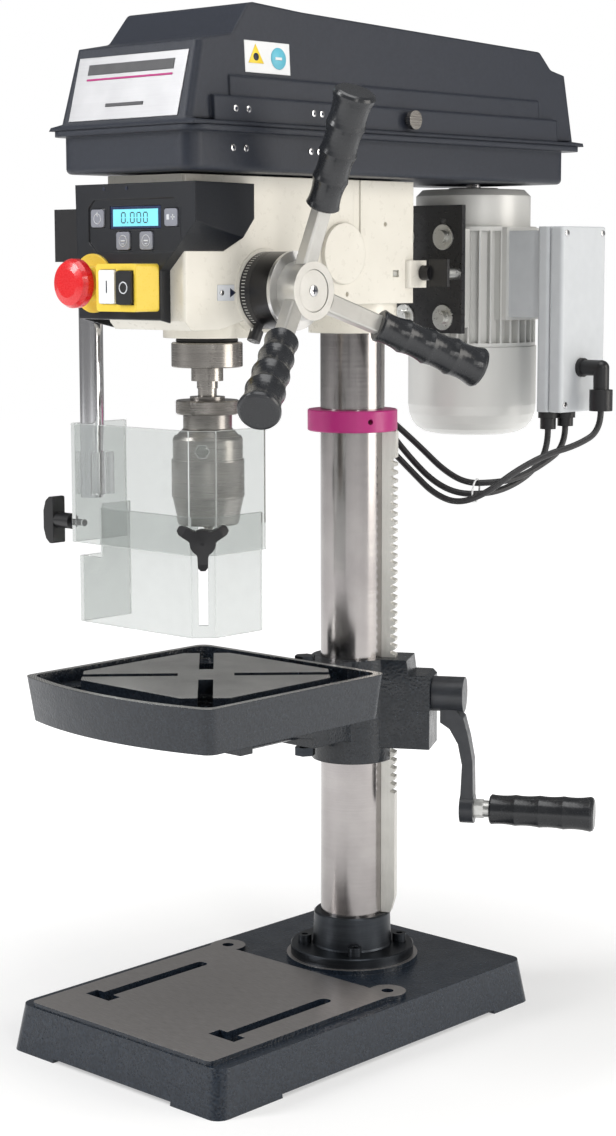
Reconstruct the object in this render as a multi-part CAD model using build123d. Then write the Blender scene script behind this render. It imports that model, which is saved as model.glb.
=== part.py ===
"""Bench drill press with a round column, geared table, belt drive and clear chuck guard (mm, +Z up).

Everything is drawn about the column axis (x = 0, y = 0) with the bench at z = 0, +X to the
operator's right and +Y to the back. save() moves it so that the origin is the middle of the
two bench bolts, on the underside of the base.
"""
from build123d import *
import os
from math import acos, cos, pi, radians, sin, sqrt, tan

os.makedirs("parts", exist_ok=True)

# ---------------------------------------------------------------- driving dimensions
COLUMN_R = 30.0
SPINDLE_Y = -190.0
FEED_Y = -166.0
FEED_Z = 680.5
MOTOR_Y = 178.0
IDLER_Y = -18.0
BOLT_Y = -66.5          # line of the two bench bolts
BOLT_X = 102.5
BOLT_HOLE_R = 5.5
MODULE = 2.5            # rack and pinion, quill and table alike
PINION_TEETH = 10
PITCH = pi * MODULE
PINION_R = MODULE * PINION_TEETH / 2
RACK_ADDENDUM = 1.45    # short rack teeth, so that ten-tooth pinions are not undercut
RACK_DEDENDUM = 3.0
RUN = 0.05              # radial running clearance
GAP = 0.3               # clearance between moving neighbours
WALL = 2.5              # sheet and moulded walls
PAD_Z = 45.7            # machined face of the base
RIM_Z = 343.7           # machined face of the table
HEAD_X = 47.0           # half width of the head casting
HEAD_TOP = 777.0
PAN_Z = 778.7           # underside of the belt housing
RACK_ANGLE = 30.0       # direction of the lifting rack round the column, from +X towards +Y
RACK_TIP_R = 42.5
GEAR_R = RACK_TIP_R - RACK_ADDENDUM + PINION_R   # lifting gear's distance from the column axis
GEAR_Z = 278.0
CRANK_Z = 302.0
TILT_Z = 278.0          # tilt axis of the table


# ---------------------------------------------------------------- small helpers
def box(x0, x1, y0, y1, z0, z1):
    """Box between two corners."""
    return Pos((x0 + x1) / 2, (y0 + y1) / 2, (z0 + z1) / 2) * Box(x1 - x0, y1 - y0, z1 - z0)


def disc_x(r, x0, x1, y=0.0, z=0.0):
    """Cylinder along X."""
    return Pos((x0 + x1) / 2, y, z) * Rot(0, 90, 0) * Cylinder(r, x1 - x0)


def disc_y(r, y0, y1, x=0.0, z=0.0):
    """Cylinder along Y."""
    return Pos(x, (y0 + y1) / 2, z) * Rot(90, 0, 0) * Cylinder(r, y1 - y0)


def disc_z(r, z0, z1, x=0.0, y=0.0):
    """Cylinder along Z."""
    return Pos(x, y, (z0 + z1) / 2) * Cylinder(r, z1 - z0)


def prism_x(outline, x0, x1):
    """Outline of (y, z) points, extruded along X."""
    face = Face(Wire.make_polygon([(x0, y, z) for y, z in outline]))
    return Part() + Solid.extrude(face, Vector(x1 - x0, 0, 0))


def prism_y(outline, y0, y1):
    """Outline of (x, z) points, extruded along Y."""
    face = Face(Wire.make_polygon([(x, y0, z) for x, z in outline]))
    return Part() + Solid.extrude(face, Vector(0, y1 - y0, 0))


def prism_z(outline, z0, z1):
    """Outline of (x, y) points, extruded along Z."""
    face = Face(Wire.make_polygon([(x, y, z0) for x, y in outline]))
    return Part() + Solid.extrude(face, Vector(0, 0, z1 - z0))


def turned(profile, x=0.0, y=0.0):
    """Profile of (radius, z) points, turned about a vertical axis."""
    face = Face(Wire.make_polygon([(r, 0, z) for r, z in profile]))
    return Pos(x, y, 0) * (Part() + Solid.revolve(face, 360, Axis.Z))


def rounded_block(x0, x1, y0, y1, z0, z1, radius):
    """Block with rounded vertical corners."""
    sketch = Pos((x0 + x1) / 2, (y0 + y1) / 2, z0) * RectangleRounded(x1 - x0, y1 - y0, radius)
    return extrude(sketch, amount=z1 - z0)


def drafted_block(half_x, y0, y1, z0, z1, inset_x, inset_y, radius):
    """Block with rounded corners whose sides lean in towards the top."""
    mid = (y0 + y1) / 2
    low = Pos(0, mid, z0) * RectangleRounded(2 * half_x, y1 - y0, radius)
    high = Pos(0, mid, z1) * RectangleRounded(2 * (half_x - inset_x), y1 - y0 - 2 * inset_y, radius)
    return loft([low, high], ruled=True)


def hexagon(across_flats, x=0.0, y=0.0):
    """Hexagon given by its width across flats."""
    return Pos(x, y) * RegularPolygon(across_flats / sqrt(3), 6)


def around(part, angle):
    """Turn a part about the column axis."""
    return Rot(0, 0, angle) * part


def save(node, *parts):
    """Write one node, with the origin moved to the middle of the bench bolt line."""
    solids = [Pos(0, -BOLT_Y, 0) * solid for part in parts for solid in part.solids()]
    export_step(Compound(solids), f"parts/{node}.step")


# ---------------------------------------------------------------- gear teeth
def rack_outline(tip, low, high, mesh, sign):
    """Points (depth, z) down one toothed edge, with a gap centred on the height mesh."""
    half_tip_gap = PITCH / 4 + RACK_ADDENDUM * tan(radians(20)) + 0.12
    half_root_gap = PITCH / 4 - RACK_DEDENDUM * tan(radians(20)) + 0.12
    root = tip - sign * (RACK_ADDENDUM + RACK_DEDENDUM)
    first = int((mesh - low - half_tip_gap) // PITCH)
    last = int((high - mesh - half_tip_gap) // PITCH)
    points = []
    for index in range(-first, last + 1):
        centre = mesh + index * PITCH
        points += [(tip, centre - half_tip_gap), (root, centre - half_root_gap)]
        points += [(root, centre + half_root_gap), (tip, centre + half_tip_gap)]
    return points


def pinion_outline(phase):
    """Involute outline of the ten-tooth pinion, with a tooth pointing at the angle phase."""
    base = PINION_R * cos(radians(20))
    tip = PINION_R + MODULE * 0.9
    root = PINION_R - MODULE * 1.2
    half_pitch_tooth = pi / (2 * PINION_TEETH) - 0.35 / PINION_R / 2
    at_pitch = tan(radians(20)) - radians(20)
    steps = 4
    points = []
    for tooth in range(PINION_TEETH):
        middle = radians(phase) + 2 * pi * tooth / PINION_TEETH
        flank = []
        for step in range(steps + 1):
            radius = base + (tip - base) * step / steps
            roll = acos(base / radius)
            half = half_pitch_tooth + at_pitch - (tan(roll) - roll)
            flank.append((radius, half))
        flank.insert(0, (root, half_pitch_tooth + at_pitch))
        points += [(r * cos(middle - a), r * sin(middle - a)) for r, a in flank]
        points += [(r * cos(middle + a), r * sin(middle + a)) for r, a in reversed(flank)]
    return points


# ---------------------------------------------------------------- base and column
def base_casting():
    """Hollow grey-iron base with two tee slots, two bench bolt bosses and a column seat."""
    front, back, half = -315.2, 109.8, 133.0
    casting = drafted_block(half, front, back, 0, 41.8, 5.1, 7.4, 12)
    casting += rounded_block(-114.2, 114.2, -306.4, -72, 40, PAD_Z, 6)
    casting += disc_z(63, 40, 46)
    for side in (-1, 1):
        casting += disc_z(17, 40, PAD_Z, side * BOLT_X, BOLT_Y)
    cavity = drafted_block(half - 12, front + 14, back - 14, -1, 29, 3, 4, 8)
    for side in (-1, 1):
        cavity -= disc_z(17, -1, 29, side * BOLT_X, BOLT_Y)
        cavity -= box(side * 112 - 12, side * 112 + 12, BOLT_Y - 9, BOLT_Y + 9, -1, 29)
    casting -= cavity
    for side in (-1, 1):
        casting -= disc_z(BOLT_HOLE_R, -1, 50, side * BOLT_X, BOLT_Y)
        casting -= rounded_block(side * 79.2 - 6.25, side * 79.2 + 6.25, -250, -121, 20, 50, 6)
        casting -= box(side * 79.2 - 15.5, side * 79.2 + 15.5, -258, -244, 20, 50)
        casting -= box(side * 133 - 20, side * 133 + 20, -238, 53, -1, 3.5)
    for angle in (45, 135, 225, 315):
        casting -= around(disc_z(4.05, 25, 50, 45.5), angle)
    casting -= box(-75, 75, front - 5, front + 16, -1, 3.5)
    return casting


def column_flange():
    """Machined steel flange that the column stands in."""
    flange = turned([(COLUMN_R, 46), (59, 46), (59, 54.5), (58, 55.5), (38.4, 55.5),
                     (37.75, 57.5), (36.5, 86.5), (35, 88), (COLUMN_R, 88)])
    for angle in (45, 135, 225, 315):
        flange -= around(disc_z(4.4, 45, 56, 45.5), angle)
    return flange - disc_x(3, -40, -COLUMN_R + 1, 0, 72)


def flange_screws():
    """Four socket cap screws of the flange."""
    screws = []
    for angle in (45, 135, 225, 315):
        screw = disc_z(4, 30, 55.5, 45.5) + disc_z(6.5, 55.5, 63.5, 45.5)
        screw -= extrude(Pos(0, 0, 59.5) * hexagon(6, 45.5), amount=5)
        screws.append(around(screw, angle))
    return screws


def column_tube():
    """Drawn steel tube, held in the flange and in the head."""
    return disc_z(COLUMN_R, 46, 744.5) - disc_z(26, 45, 745)


def lifting_rack():
    """Toothed rack beside the column, held between the flange collar and the ring."""
    low, high = 88 + GAP, 549 - GAP
    teeth = rack_outline(RACK_TIP_R, 201, 527, GEAR_Z, 1)
    outline = [(28, low), (RACK_TIP_R - 4, low), (RACK_TIP_R, low + 14)] + teeth
    outline += [(RACK_TIP_R, high), (28, high)]
    face = Face(Wire.make_polygon([(r, -6.5, z) for r, z in outline]))
    bar = Part() + Solid.extrude(face, Vector(0, 13, 0))
    bar -= disc_z(COLUMN_R + RUN, 80, 560)
    return around(bar, RACK_ANGLE)


def rack_ring():
    """Ring with a set screw that keeps the rack on the column."""
    ring = turned([(COLUMN_R, 549), (41, 549), (42, 550), (42, 568), (41, 569), (COLUMN_R, 569)])
    return ring - around(disc_x(2.5, 28, 45, 0, 559), -25)


# ---------------------------------------------------------------- table
def table_bracket():
    """Iron bracket: split clamp on the column, gear housing beside the rack and the table arm."""
    casting = disc_z(38.5, 238, 336)
    casting += around(prism_y([(30, 252), (78, 252), (78, 318), (74, 322), (58, 322),
                               (56, 336), (30, 336)], -22, 22), RACK_ANGLE)
    casting += around(box(30, 62, -11, 11, 258, 316), 130)
    casting += box(-25, 25, -82, 0, 262, 336)
    casting += prism_x([(-150, 294), (-150, 286), (-110, 276.6), (-20, 258), (0, 258),
                        (0, 294)], -25, 25)
    casting -= disc_z(COLUMN_R + RUN, 230, 340)
    rack_way = box(0, RACK_TIP_R + GAP, -6.5 - GAP, 6.5 + GAP, 230, 340)
    gear_way = disc_y(PINION_R + MODULE + 1, -8.3, 8.3, GEAR_R, GEAR_Z)
    gear_way += box(40, GEAR_R, -8.3, 8.3, GEAR_Z - 12, GEAR_Z + 12)
    gear_way += disc_y(4 + RUN, -17, 17, GEAR_R, GEAR_Z)
    worm_way = disc_x(8 + RUN, 38, 80, 0, CRANK_Z)
    casting -= around(rack_way + gear_way + worm_way, RACK_ANGLE)
    casting -= around(box(20, 70, -1.5, 1.5, 230, 340), 130)
    casting -= around(disc_y(4 + RUN, -12, 12, 50, 287), 130)
    casting -= disc_y(11 + RUN, -151, -72, 0, TILT_Z)
    return casting - disc_z(5.1, 250, 345, 0, -66)


def clamp_bolt():
    """Hexagon bolt with nut that closes the arm on the table's tilt spigot."""
    bolt = disc_z(5, 250, 336, 0, -66)
    bolt += extrude(Pos(0, 0, 336) * hexagon(17, 0, -66), amount=8)
    return bolt + extrude(Pos(0, 0, 250) * hexagon(17, 0, -66), amount=8)


def lock_lever():
    """Clamping lever on the split behind the column."""
    lever = disc_y(4, -11, 26, 50, 287) + disc_y(9, 11 + GAP, 24, 50, 287)
    lever += Pos(84, 22, 287) * Rot(0, 90, 0) * Cone(5.5, 4, 56)
    lever += Pos(116, 22, 287) * Sphere(9)
    return around(lever, 130)


def lift_gear():
    """Ten-tooth gear that climbs the rack, with its plugged shaft."""
    face = Face(Wire.make_polygon([(x + GEAR_R, -8, z + GEAR_Z) for x, z in pinion_outline(180)]))
    gear = Part() + Solid.extrude(face, Vector(0, 16, 0))
    return around(gear + disc_y(4, -16.5, 16.5, GEAR_R, GEAR_Z), RACK_ANGLE)


def crank_shaft():
    """Worm shaft; its thread is a plain cylinder over the lifting gear."""
    return around(disc_x(8, RACK_TIP_R + 1, 78 + GAP, 0, CRANK_Z) + disc_x(7, 78, 92, 0, CRANK_Z), RACK_ANGLE)


def crank_arm():
    """Cast hand crank: hub, curved arm and end boss."""
    hub = disc_x(16.5, 78 + GAP, 108, 0, CRANK_Z)
    arm = prism_y([(86, 292), (97, 292), (108, 281), (113, 262), (117, 240), (118, 193), (105, 193),
                   (107, 236), (103, 256), (95, 270), (86, 276)], -9, 9)
    boss = disc_x(14, 105, 118, 0, 193)
    crank = hub + arm + boss
    crank -= disc_x(7, 77, 92.3, 0, CRANK_Z)
    crank -= disc_x(4, 104, 119, 0, 193)
    return around(crank, RACK_ANGLE)


def crank_axle():
    """Steel axle and nut that hold the crank's grip."""
    axle = disc_x(4, 105, 224, 0, 193)
    axle += Pos(118, 0, 193) * Rot(0, 90, 0) * extrude(hexagon(16), amount=9)
    return around(axle + disc_x(8, 127, 132.5, 0, 193), RACK_ANGLE)


def grip_profile(length, ribs, root, tip, waist):
    """Outline (radius, distance) of a ribbed grip: shallow hollows between sharp ridges."""
    points = [(root - 1.5, 0)]
    steps = 6
    for rib in range(ribs):
        for step in range(steps):
            share = (rib + step / steps) / ribs
            hollow = waist * sin(pi * step / steps) ** 0.8 if step else 0
            points.append((root + (tip - root) * share - hollow, 1.5 + (length - 7.5) * share))
    return points + [(tip, length - 6), (tip + 0.4, length - 3.5), (tip - 0.6, length - 1.2),
                     (tip - 2.8, length)]


def ribbed_grip(length, profile, bore, depth):
    """Ribbed grip standing on z = 0, bored to a depth from below."""
    return turned([(bore, 0)] + profile + [(0, length), (0, depth), (bore, depth)])


def crank_grip():
    """Turning grip of the hand crank."""
    grip = ribbed_grip(98, grip_profile(98, 4, 14.2, 16.0, 0.9), 4 + RUN, 92)
    return around(Pos(133, 0, 193) * Rot(0, 90, 0) * grip, RACK_ANGLE)


def table_tray():
    """Iron table: tray with a machined plateau, coolant trough and four diagonal slots."""
    back, side, bottom = -83.4, 116.0, 304.0
    low = Pos(0, 0, bottom) * tray_outline(side - 4, back - 4, 300)
    high = Pos(0, 0, RIM_Z) * tray_outline(side, back, 305)
    tray = loft([low, high], ruled=True)
    inner_high = Pos(0, 0, RIM_Z + 0.01) * tray_outline(side - 6, back - 6, 299)
    inner_low = Pos(0, 0, 332) * tray_outline(side - 7, back - 7, 298)
    trough = loft([inner_low, inner_high], ruled=True)
    half, cut = 92.0, 30.0
    plateau = [(-half, -cut + half), (-half + cut, half), (half - cut, half), (half, half - cut),
               (half, -half + cut), (half - cut, -half), (-half + cut, -half), (-half, -half + cut)]
    plateau = [(x, y + SPINDLE_Y - 4.5) for x, y in plateau]
    tray -= trough - prism_z(plateau, 320, 350)
    hollow = Pos(0, 0, bottom - 1) * tray_outline(side - 12, back - 40, 288)
    tray -= extrude(hollow, amount=19)
    for angle in (45, 135, 225, 315):
        slot = box(25, 120, -6.5, 6.5, 330, 350) + box(32, 120, -11, 11, 325, 333)
        tray -= Pos(0, SPINDLE_Y - 4.5, 0) * around(slot, angle)
    tray += box(-14, 14, -166, -150 - GAP, 267, 324)
    return tray + disc_y(11, -155, -74, 0, TILT_Z)


def tray_outline(side, back, corner):
    """Plan of the table: straight back and sides, bowed front, rounded corners."""
    plan = make_face(Polyline((side, -corner), (side, back), (-side, back), (-side, -corner))
                     + ThreePointArc((-side, -corner), (0, -corner - 19), (side, -corner)))
    return fillet(plan.vertices(), 11)


save("base_casting", base_casting())
save("column_flange", column_flange())
save("flange_screws", *flange_screws())
save("column_tube", column_tube())
save("rack", lifting_rack())
save("rack_ring", rack_ring())
save("table_bracket", table_bracket())
save("table_clamp_bolt", clamp_bolt())
save("lock_lever", lock_lever())
save("lift_gear", lift_gear())
save("crank_shaft", crank_shaft())
save("crank_arm", crank_arm(), crank_axle())
save("crank_grip", crank_grip())
save("table_tray", table_tray())


# ---------------------------------------------------------------- head, quill and spindle
QUILL_R = 22.0
SLIDE_X = 39.5
SLIDE_Z = 694.0
SLIDE_R = 6.0


def head_casting():
    """Painted head casting: quill barrel, feed bore, column boss and motor slide bores."""
    head = prism_x([(33, 667), (33, HEAD_TOP), (-262, HEAD_TOP), (-262, 656), (-254, 648),
                    (-222, 648), (-140, 667)], -HEAD_X, HEAD_X)
    head = fillet(head.edges().filter_by(Axis.Z), 3)
    head += disc_z(38, 640, 700, 0, SPINDLE_Y)
    head += disc_z(41, 640, 700)
    head += disc_x(36, -HEAD_X - 1.5, HEAD_X + 1.2, FEED_Y, FEED_Z)
    head += disc_x(27, 20, HEAD_X + 4, -67, 712)
    for side in (-1, 1):
        head += rounded_block(side * 41 - 10, side * 41 + 10, 20, 48, 681, 706, 4)
        head -= disc_y(SLIDE_R + RUN, -80, 50, side * SLIDE_X, SLIDE_Z)
        head -= box(side * HEAD_X - 1.5, side * HEAD_X + 1.5, -51, -42, 700, 780)
    head -= disc_z(COLUMN_R, 630, 745)
    head -= disc_z(QUILL_R + RUN, 630, 790, 0, SPINDLE_Y)
    head -= disc_x(9 + RUN, -60, 60, FEED_Y, FEED_Z)
    head -= disc_x(PINION_R + MODULE + 0.6, -13, 13, FEED_Y, FEED_Z)
    head -= disc_x(3 + RUN, 40, 60, 40, SLIDE_Z + 0.6)
    for y, z in ((-8, 738.5), (-60, 676)):
        head -= disc_x(2, HEAD_X - 4, HEAD_X + 8, y, z)
    return head - box(42, 52, 3, 11, 691, 697)


def quill_sleeve():
    """Ground quill with its toothed rear flat, bored for the spindle bearings."""
    quill = disc_z(QUILL_R, 614.5, 770) - disc_z(17, 600, 780)
    quill = Pos(0, SPINDLE_Y, 0) * quill
    tip = FEED_Y - PINION_R + RACK_ADDENDUM
    low, high = 664, 761.2
    teeth = rack_outline(tip, low, high, FEED_Z, 1)
    relief = [(tip, low)] + teeth + [(tip, high), (tip + 12, high), (tip + 12, low)]
    return quill - prism_x(relief, -25, 25)


def quill_collar():
    """Steel collar clamped on the lower end of the quill, with the bearing cap."""
    collar = turned([(QUILL_R, 614.5), (30.2, 614.5), (31, 615.3), (31, 635), (30, 636),
                     (QUILL_R, 636)], 0, SPINDLE_Y)
    return collar


def bearing_cap():
    """Threaded cap that holds the lower bearing in the quill."""
    return turned([(9.2, 602.5), (13.9, 602.5), (13.9, 614.5), (9.2, 614.5)], 0, SPINDLE_Y)


def quill_bearings():
    """Two ball bearings of the spindle, as plain rings."""
    return [turned([(8 + RUN, low), (17, low), (17, high), (8 + RUN, high)], 0, SPINDLE_Y)
            for low, high in ((616, 628), (761.4, 769.4))]


def spindle_shaft():
    """Spindle with its upper driven end and the chuck arbor."""
    return turned([(0, 560), (8, 560), (8.25, 596), (9.1, 596), (9.1, 602.4), (8, 602.4),
                   (8, 876), (7, 878), (0, 878)], 0, SPINDLE_Y)


def chuck_body():
    """Keyless chuck: knurled rear ring, neck and body cone, bored for the jaws."""
    body = turned([(0, 589), (15.25, 589), (15.25, 586), (26.6, 586), (27.65, 585), (27.65, 575),
                   (26.6, 573.7), (21.35, 573.7), (21.35, 561.5), (27, 555), (27, 499), (24, 492),
                   (22.6, 478), (21, 477), (7.2, 477), (7.2, 540), (0, 540)], 0, SPINDLE_Y)
    return body - turned([(0, 559), (8, 560), (8.4, 600), (0, 600)], 0, SPINDLE_Y)


def chuck_jaws():
    """Three hardened jaws, nearly closed."""
    jaws = []
    for angle in (90, 210, 330):
        jaw = turned([(0.8, 473), (2.5, 471), (7.2, 480), (7.2, 539), (0.8, 539)])
        jaw &= Rot(0, 0, angle) * box(0, 8, -2.6, 2.6, 470, 540)
        jaw -= disc_z(1, 470, 540)
        jaws.append(Pos(0, SPINDLE_Y, 0) * jaw)
    return jaws


def chuck_sleeve():
    """Knurled tightening sleeve of the chuck."""
    return turned([(27 + RUN, 555), (28.5, 555), (30.15, 552), (30.15, 534.4), (31.35, 534.4),
                   (31.35, 502), (30.6, 500.5), (25.9, 479), (25, 477.5), (23, 478.5),
                   (24.4, 491.9), (27 + RUN, 498.8)], 0, SPINDLE_Y)


# ---------------------------------------------------------------- feed
def pinion_shaft():
    """Feed shaft with its ten-tooth pinion in mesh with the quill."""
    face = Face(Wire.make_polygon([(-12, y + FEED_Y, z + FEED_Z)
                                   for y, z in pinion_outline(180)]))
    shaft = Part() + Solid.extrude(face, Vector(24, 0, 0))
    return shaft + disc_x(9, -66, 84.5, FEED_Y, FEED_Z)


SPOKE_ANGLES = (-6.2, 115.0, 234.8)   # from +Z towards +Y
SPOKE_DISH = 26.4                     # lean away from the machine
SPOKE_ROOT_X = 86.0
SPOKE_END = 78.0
GRIP_LENGTH = 103.0


def feed_hub():
    """Cast aluminium hub with three dished spokes."""
    hub = disc_x(25, 84.5, 104.5, FEED_Y, FEED_Z)
    for angle in SPOKE_ANGLES:
        hub += on_spoke(extrude(spoke_section(18, 13), amount=SPOKE_END, taper=0.8), angle)
        hub += on_spoke(disc_z(4, 40, SPOKE_END + GRIP_LENGTH - 8), angle)
    hub -= disc_x(24.9, 104.5, 130, FEED_Y, FEED_Z) + disc_x(18, 102.5, 105, FEED_Y, FEED_Z)
    hub += disc_x(17.6, 102.5, 103.7, FEED_Y, FEED_Z)
    return hub - disc_x(9, 60, 84.5, FEED_Y, FEED_Z) - disc_x(40, 60, 84.5, FEED_Y, FEED_Z)


def on_spoke(part, angle):
    """Place a part drawn up +Z from the hub onto the spoke at this angle."""
    return Pos(SPOKE_ROOT_X, FEED_Y, FEED_Z) * Rot(-angle, 0, 0) * Rot(0, SPOKE_DISH, 0) * part


def spoke_section(wide, thick):
    """Rounded section of a spoke, wide round the hub and thin along the shaft."""
    return RectangleRounded(thick, wide, 3)


def feed_grips():
    """Three ribbed grips on the spokes."""
    grip = ribbed_grip(GRIP_LENGTH, grip_profile(GRIP_LENGTH, 4, 14.4, 17.6, 1.7), 4,
                       GRIP_LENGTH - 8)
    return [on_spoke(Pos(0, 0, SPOKE_END) * grip, angle) for angle in SPOKE_ANGLES]


def hub_flange():
    """Dark ring behind the hub, with a bright lip."""
    return (disc_x(33, 60 + GAP, 81, FEED_Y, FEED_Z) + disc_x(33.6, 81, 84.5, FEED_Y, FEED_Z)
            - disc_x(9, 59, 85, FEED_Y, FEED_Z))


def depth_ring():
    """Turning depth-stop ring with its thumb screw."""
    ring = disc_x(33, HEAD_X + 1.5, 60, FEED_Y, FEED_Z) - disc_x(9 + RUN, 45, 61, FEED_Y, FEED_Z)
    screw = disc_z(4, 30, 38) + disc_z(5.8, 38, 48)
    return ring + Pos(54, FEED_Y, FEED_Z) * Rot(-207, 0, 0) * screw


def spring_case():
    """Round case of the return spring, open towards the head."""
    case = disc_x(33, -73, -HEAD_X - 1.5, FEED_Y, FEED_Z)
    case -= disc_x(30.5, -70.5, -HEAD_X, FEED_Y, FEED_Z)
    return case - disc_x(9 + RUN, -80, -68, FEED_Y, FEED_Z)


save("head_casting", head_casting())
save("quill_sleeve", quill_sleeve(), quill_collar())
save("spindle_bearings", bearing_cap(), *quill_bearings())
save("spindle_shaft", spindle_shaft())
save("chuck_body", chuck_body())
save("chuck_jaws", *chuck_jaws())
save("chuck_sleeve", chuck_sleeve())
save("pinion_shaft", pinion_shaft())
save("feed_hub", feed_hub())
save("feed_grips", *feed_grips())
save("hub_flange", hub_flange())
save("depth_ring", depth_ring())
save("spring_case", spring_case())


# ---------------------------------------------------------------- belt housing and drive
PAN_X = 79.6
TIERS = (800.0, 816.0, 832.0, 848.0)    # middle heights of the pulley grooves
BELT_UP, BELT_LOW = 2, 1                # grooves the two belts run in
SPINDLE_TIERS = (53.0, 47.0, 41.0, 35.0)
IDLER_TIERS = (41.0, 47.0, 53.0, 59.0)
MOTOR_TIERS = (30.0, 24.0, 18.0, 12.0)
BELT_DEEP = 9.0


def belt_housing():
    """Pressed steel pan under the pulleys, with an outward rim."""
    pan = rounded_block(-PAN_X, PAN_X, -286, 223, PAN_Z, 814.4, 14)
    pan = fillet(pan.faces().sort_by(Axis.Z)[0].edges(), 4.5)
    pan += rounded_block(-89.4, 89.4, -291.8, 239, 810, 814.4, 18)
    pan -= rounded_block(-PAN_X + WALL, PAN_X - WALL, -286 + WALL, 223 - WALL,
                         PAN_Z + WALL, 830, 12)
    pan -= disc_z(QUILL_R + 2, 770, 790, 0, SPINDLE_Y)
    opening = box(-30, 30, MOTOR_Y - 14, MOTOR_Y + 8, 770, 790)
    opening += disc_z(30, 770, 790, 0, MOTOR_Y - 14) + disc_z(30, 770, 790, 0, MOTOR_Y + 8)
    return pan - opening


def cover_block(inset):
    """Outer form of the lid, shrunk by inset on every face."""
    side = [(-290, 814.8), (-287, 819), (-270, 883), (-232, 890), (-210, 917), (-148, 913),
            (184, 902), (201, 886), (227, 881), (236.5, 819), (238, 814.8)]
    front = [(88, 814.8), (88, 818), (78.7, 819.5), (72.8, 920), (-72.8, 920), (-78.7, 819.5),
             (-88, 818), (-88, 814.8)]
    side_face = Plane.YZ.offset(-100) * make_face(Polyline(*side, close=True))
    front_face = Plane.XZ.offset(300) * make_face(Polyline(*front, close=True))
    if inset:
        side_face = offset(side_face, -inset)
        front_face = offset(front_face, -inset)
    along_x = Part() + Solid.extrude(side_face.face(), Vector(200, 0, 0))
    along_y = Part() + Solid.extrude(front_face.face(), Vector(0, 600, 0))
    return along_x & along_y


def cover_lid():
    """Hinged sheet-metal lid over the pulleys, with two hinge knuckles."""
    lid = cover_block(0)
    walls = lid.edges().filter_by_position(Axis.Z, 822, 930)
    lid = fillet([e for e in walls if abs((e @ 0).X - (e @ 1).X) < 60
                  and min((e @ 0).Z, (e @ 1).Z) < 822], 7)
    roof = lid.edges().filter_by_position(Axis.Z, 884, 930)
    lid = fillet([e for e in roof if abs((e @ 0).X - (e @ 1).X) > 60], 8)
    for side in (-1, 1):
        for low, high, front, back, foot, head in ((819, 839, -261, 202, 83.4, 82.4),
                                                   (839, 856, -239, 178, 79.2, 78.4)):
            strip = prism_y([(side * 70, low), (side * foot, low), (side * head, high - 1),
                             (side * (head - 1), high), (side * 70, high)], front, back)
            lid += strip
    lid -= cover_block(WALL)
    lid -= rounded_block(-81, 81, -283, 230, 812, 820, 10)
    lid -= disc_x(3 + RUN, 70, 86, -19, 829)
    for y in HINGE_Y:
        lid += box(-91, -86, y - 12, y + 12, 814.8, 817) + disc_y(2.6, y - 12, y + 12, -91, 817)
        lid -= disc_y(1.2 + RUN, y - 13, y + 13, -91, 817)
    return lid


HINGE_Y = (-140.0, 90.0)
HINGE_X = -91.0
HINGE_Z = 817.0


def lid_hinges():
    """Hinge pins with the fixed knuckles on each side of the lid's own."""
    hinges = []
    for y in HINGE_Y:
        hinge = disc_y(1.2, y - 24, y + 24, HINGE_X, HINGE_Z)
        for low, high in ((y - 24, y - 12 - GAP), (y + 12 + GAP, y + 24)):
            hinge += disc_y(2.6, low, high, HINGE_X, HINGE_Z)
            hinge += box(HINGE_X - 2.6, HINGE_X + 0.5, low, high, 811, HINGE_Z)
        hinges.append(hinge)
    return hinges


def belt_loop(radius_a, y_a, radius_b, y_b, middle):
    """Vee belt round two pulleys, lying in their grooves."""
    loops = []
    for extra in (BELT_DEEP, 0.5):
        rims = (Pos(0, y_a) * Circle(radius_a + extra)).edges()
        rims += (Pos(0, y_b) * Circle(radius_b + extra)).edges()
        loops.append(make_hull(rims))
    return extrude(Pos(0, 0, middle - 4) * (loops[0] - loops[1]), amount=8)


def stepped_pulley(radii, bore, y, low, high):
    """Stack of vee grooves, widest where its radius is largest."""
    profile = [(bore, low)]
    for index, middle in enumerate(TIERS):
        root = radii[index]
        profile += [(root + BELT_DEEP, middle - 7.9), (root + BELT_DEEP, middle - 5.8)]
        profile += [(root, middle - 4.4), (root, middle + 4.4)]
        profile += [(root + BELT_DEEP, middle + 5.8), (root + BELT_DEEP, middle + 7.9)]
    profile += [(bore, high)]
    return turned(profile, 0, y)


def drive_belts():
    """Two vee belts: motor to idler, and idler to spindle."""
    low, up = TIERS[BELT_LOW], TIERS[BELT_UP]
    return [belt_loop(IDLER_TIERS[BELT_LOW], IDLER_Y, MOTOR_TIERS[BELT_LOW], MOTOR_Y, low),
            belt_loop(SPINDLE_TIERS[BELT_UP], SPINDLE_Y, IDLER_TIERS[BELT_UP], IDLER_Y, up)]


def spindle_pulley():
    """Stepped pulley that drives the splined top of the spindle."""
    pulley = stepped_pulley(SPINDLE_TIERS, 8 + RUN, SPINDLE_Y, 788, 858)
    return pulley


def idler_pulley():
    """Stepped pulley between the motor's and the spindle's."""
    return stepped_pulley(IDLER_TIERS, 8 + RUN, IDLER_Y, 788, 858)


def idler_post():
    """Fixed post with a collar that carries the middle pulley."""
    return disc_z(8, HEAD_TOP, 866, 0, IDLER_Y) + disc_z(14, PAN_Z + WALL, 788 - GAP, 0, IDLER_Y)


def motor_pulley():
    """Stepped pulley on the motor's shaft."""
    return stepped_pulley(MOTOR_TIERS, 7, MOTOR_Y, 788, 858)


def motor_shaft():
    """Motor shaft, from the fan end to the pulley."""
    return disc_z(7, 560, 862, 0, MOTOR_Y)


def latch_knob():
    """Small quarter-turn latch on the right side of the lid."""
    return (disc_x(3, 74, 84, -19, 829) + disc_x(5, 83.8, 88, -19, 829)
            + disc_x(8.3, 87.5, 92, -19, 829))


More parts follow.
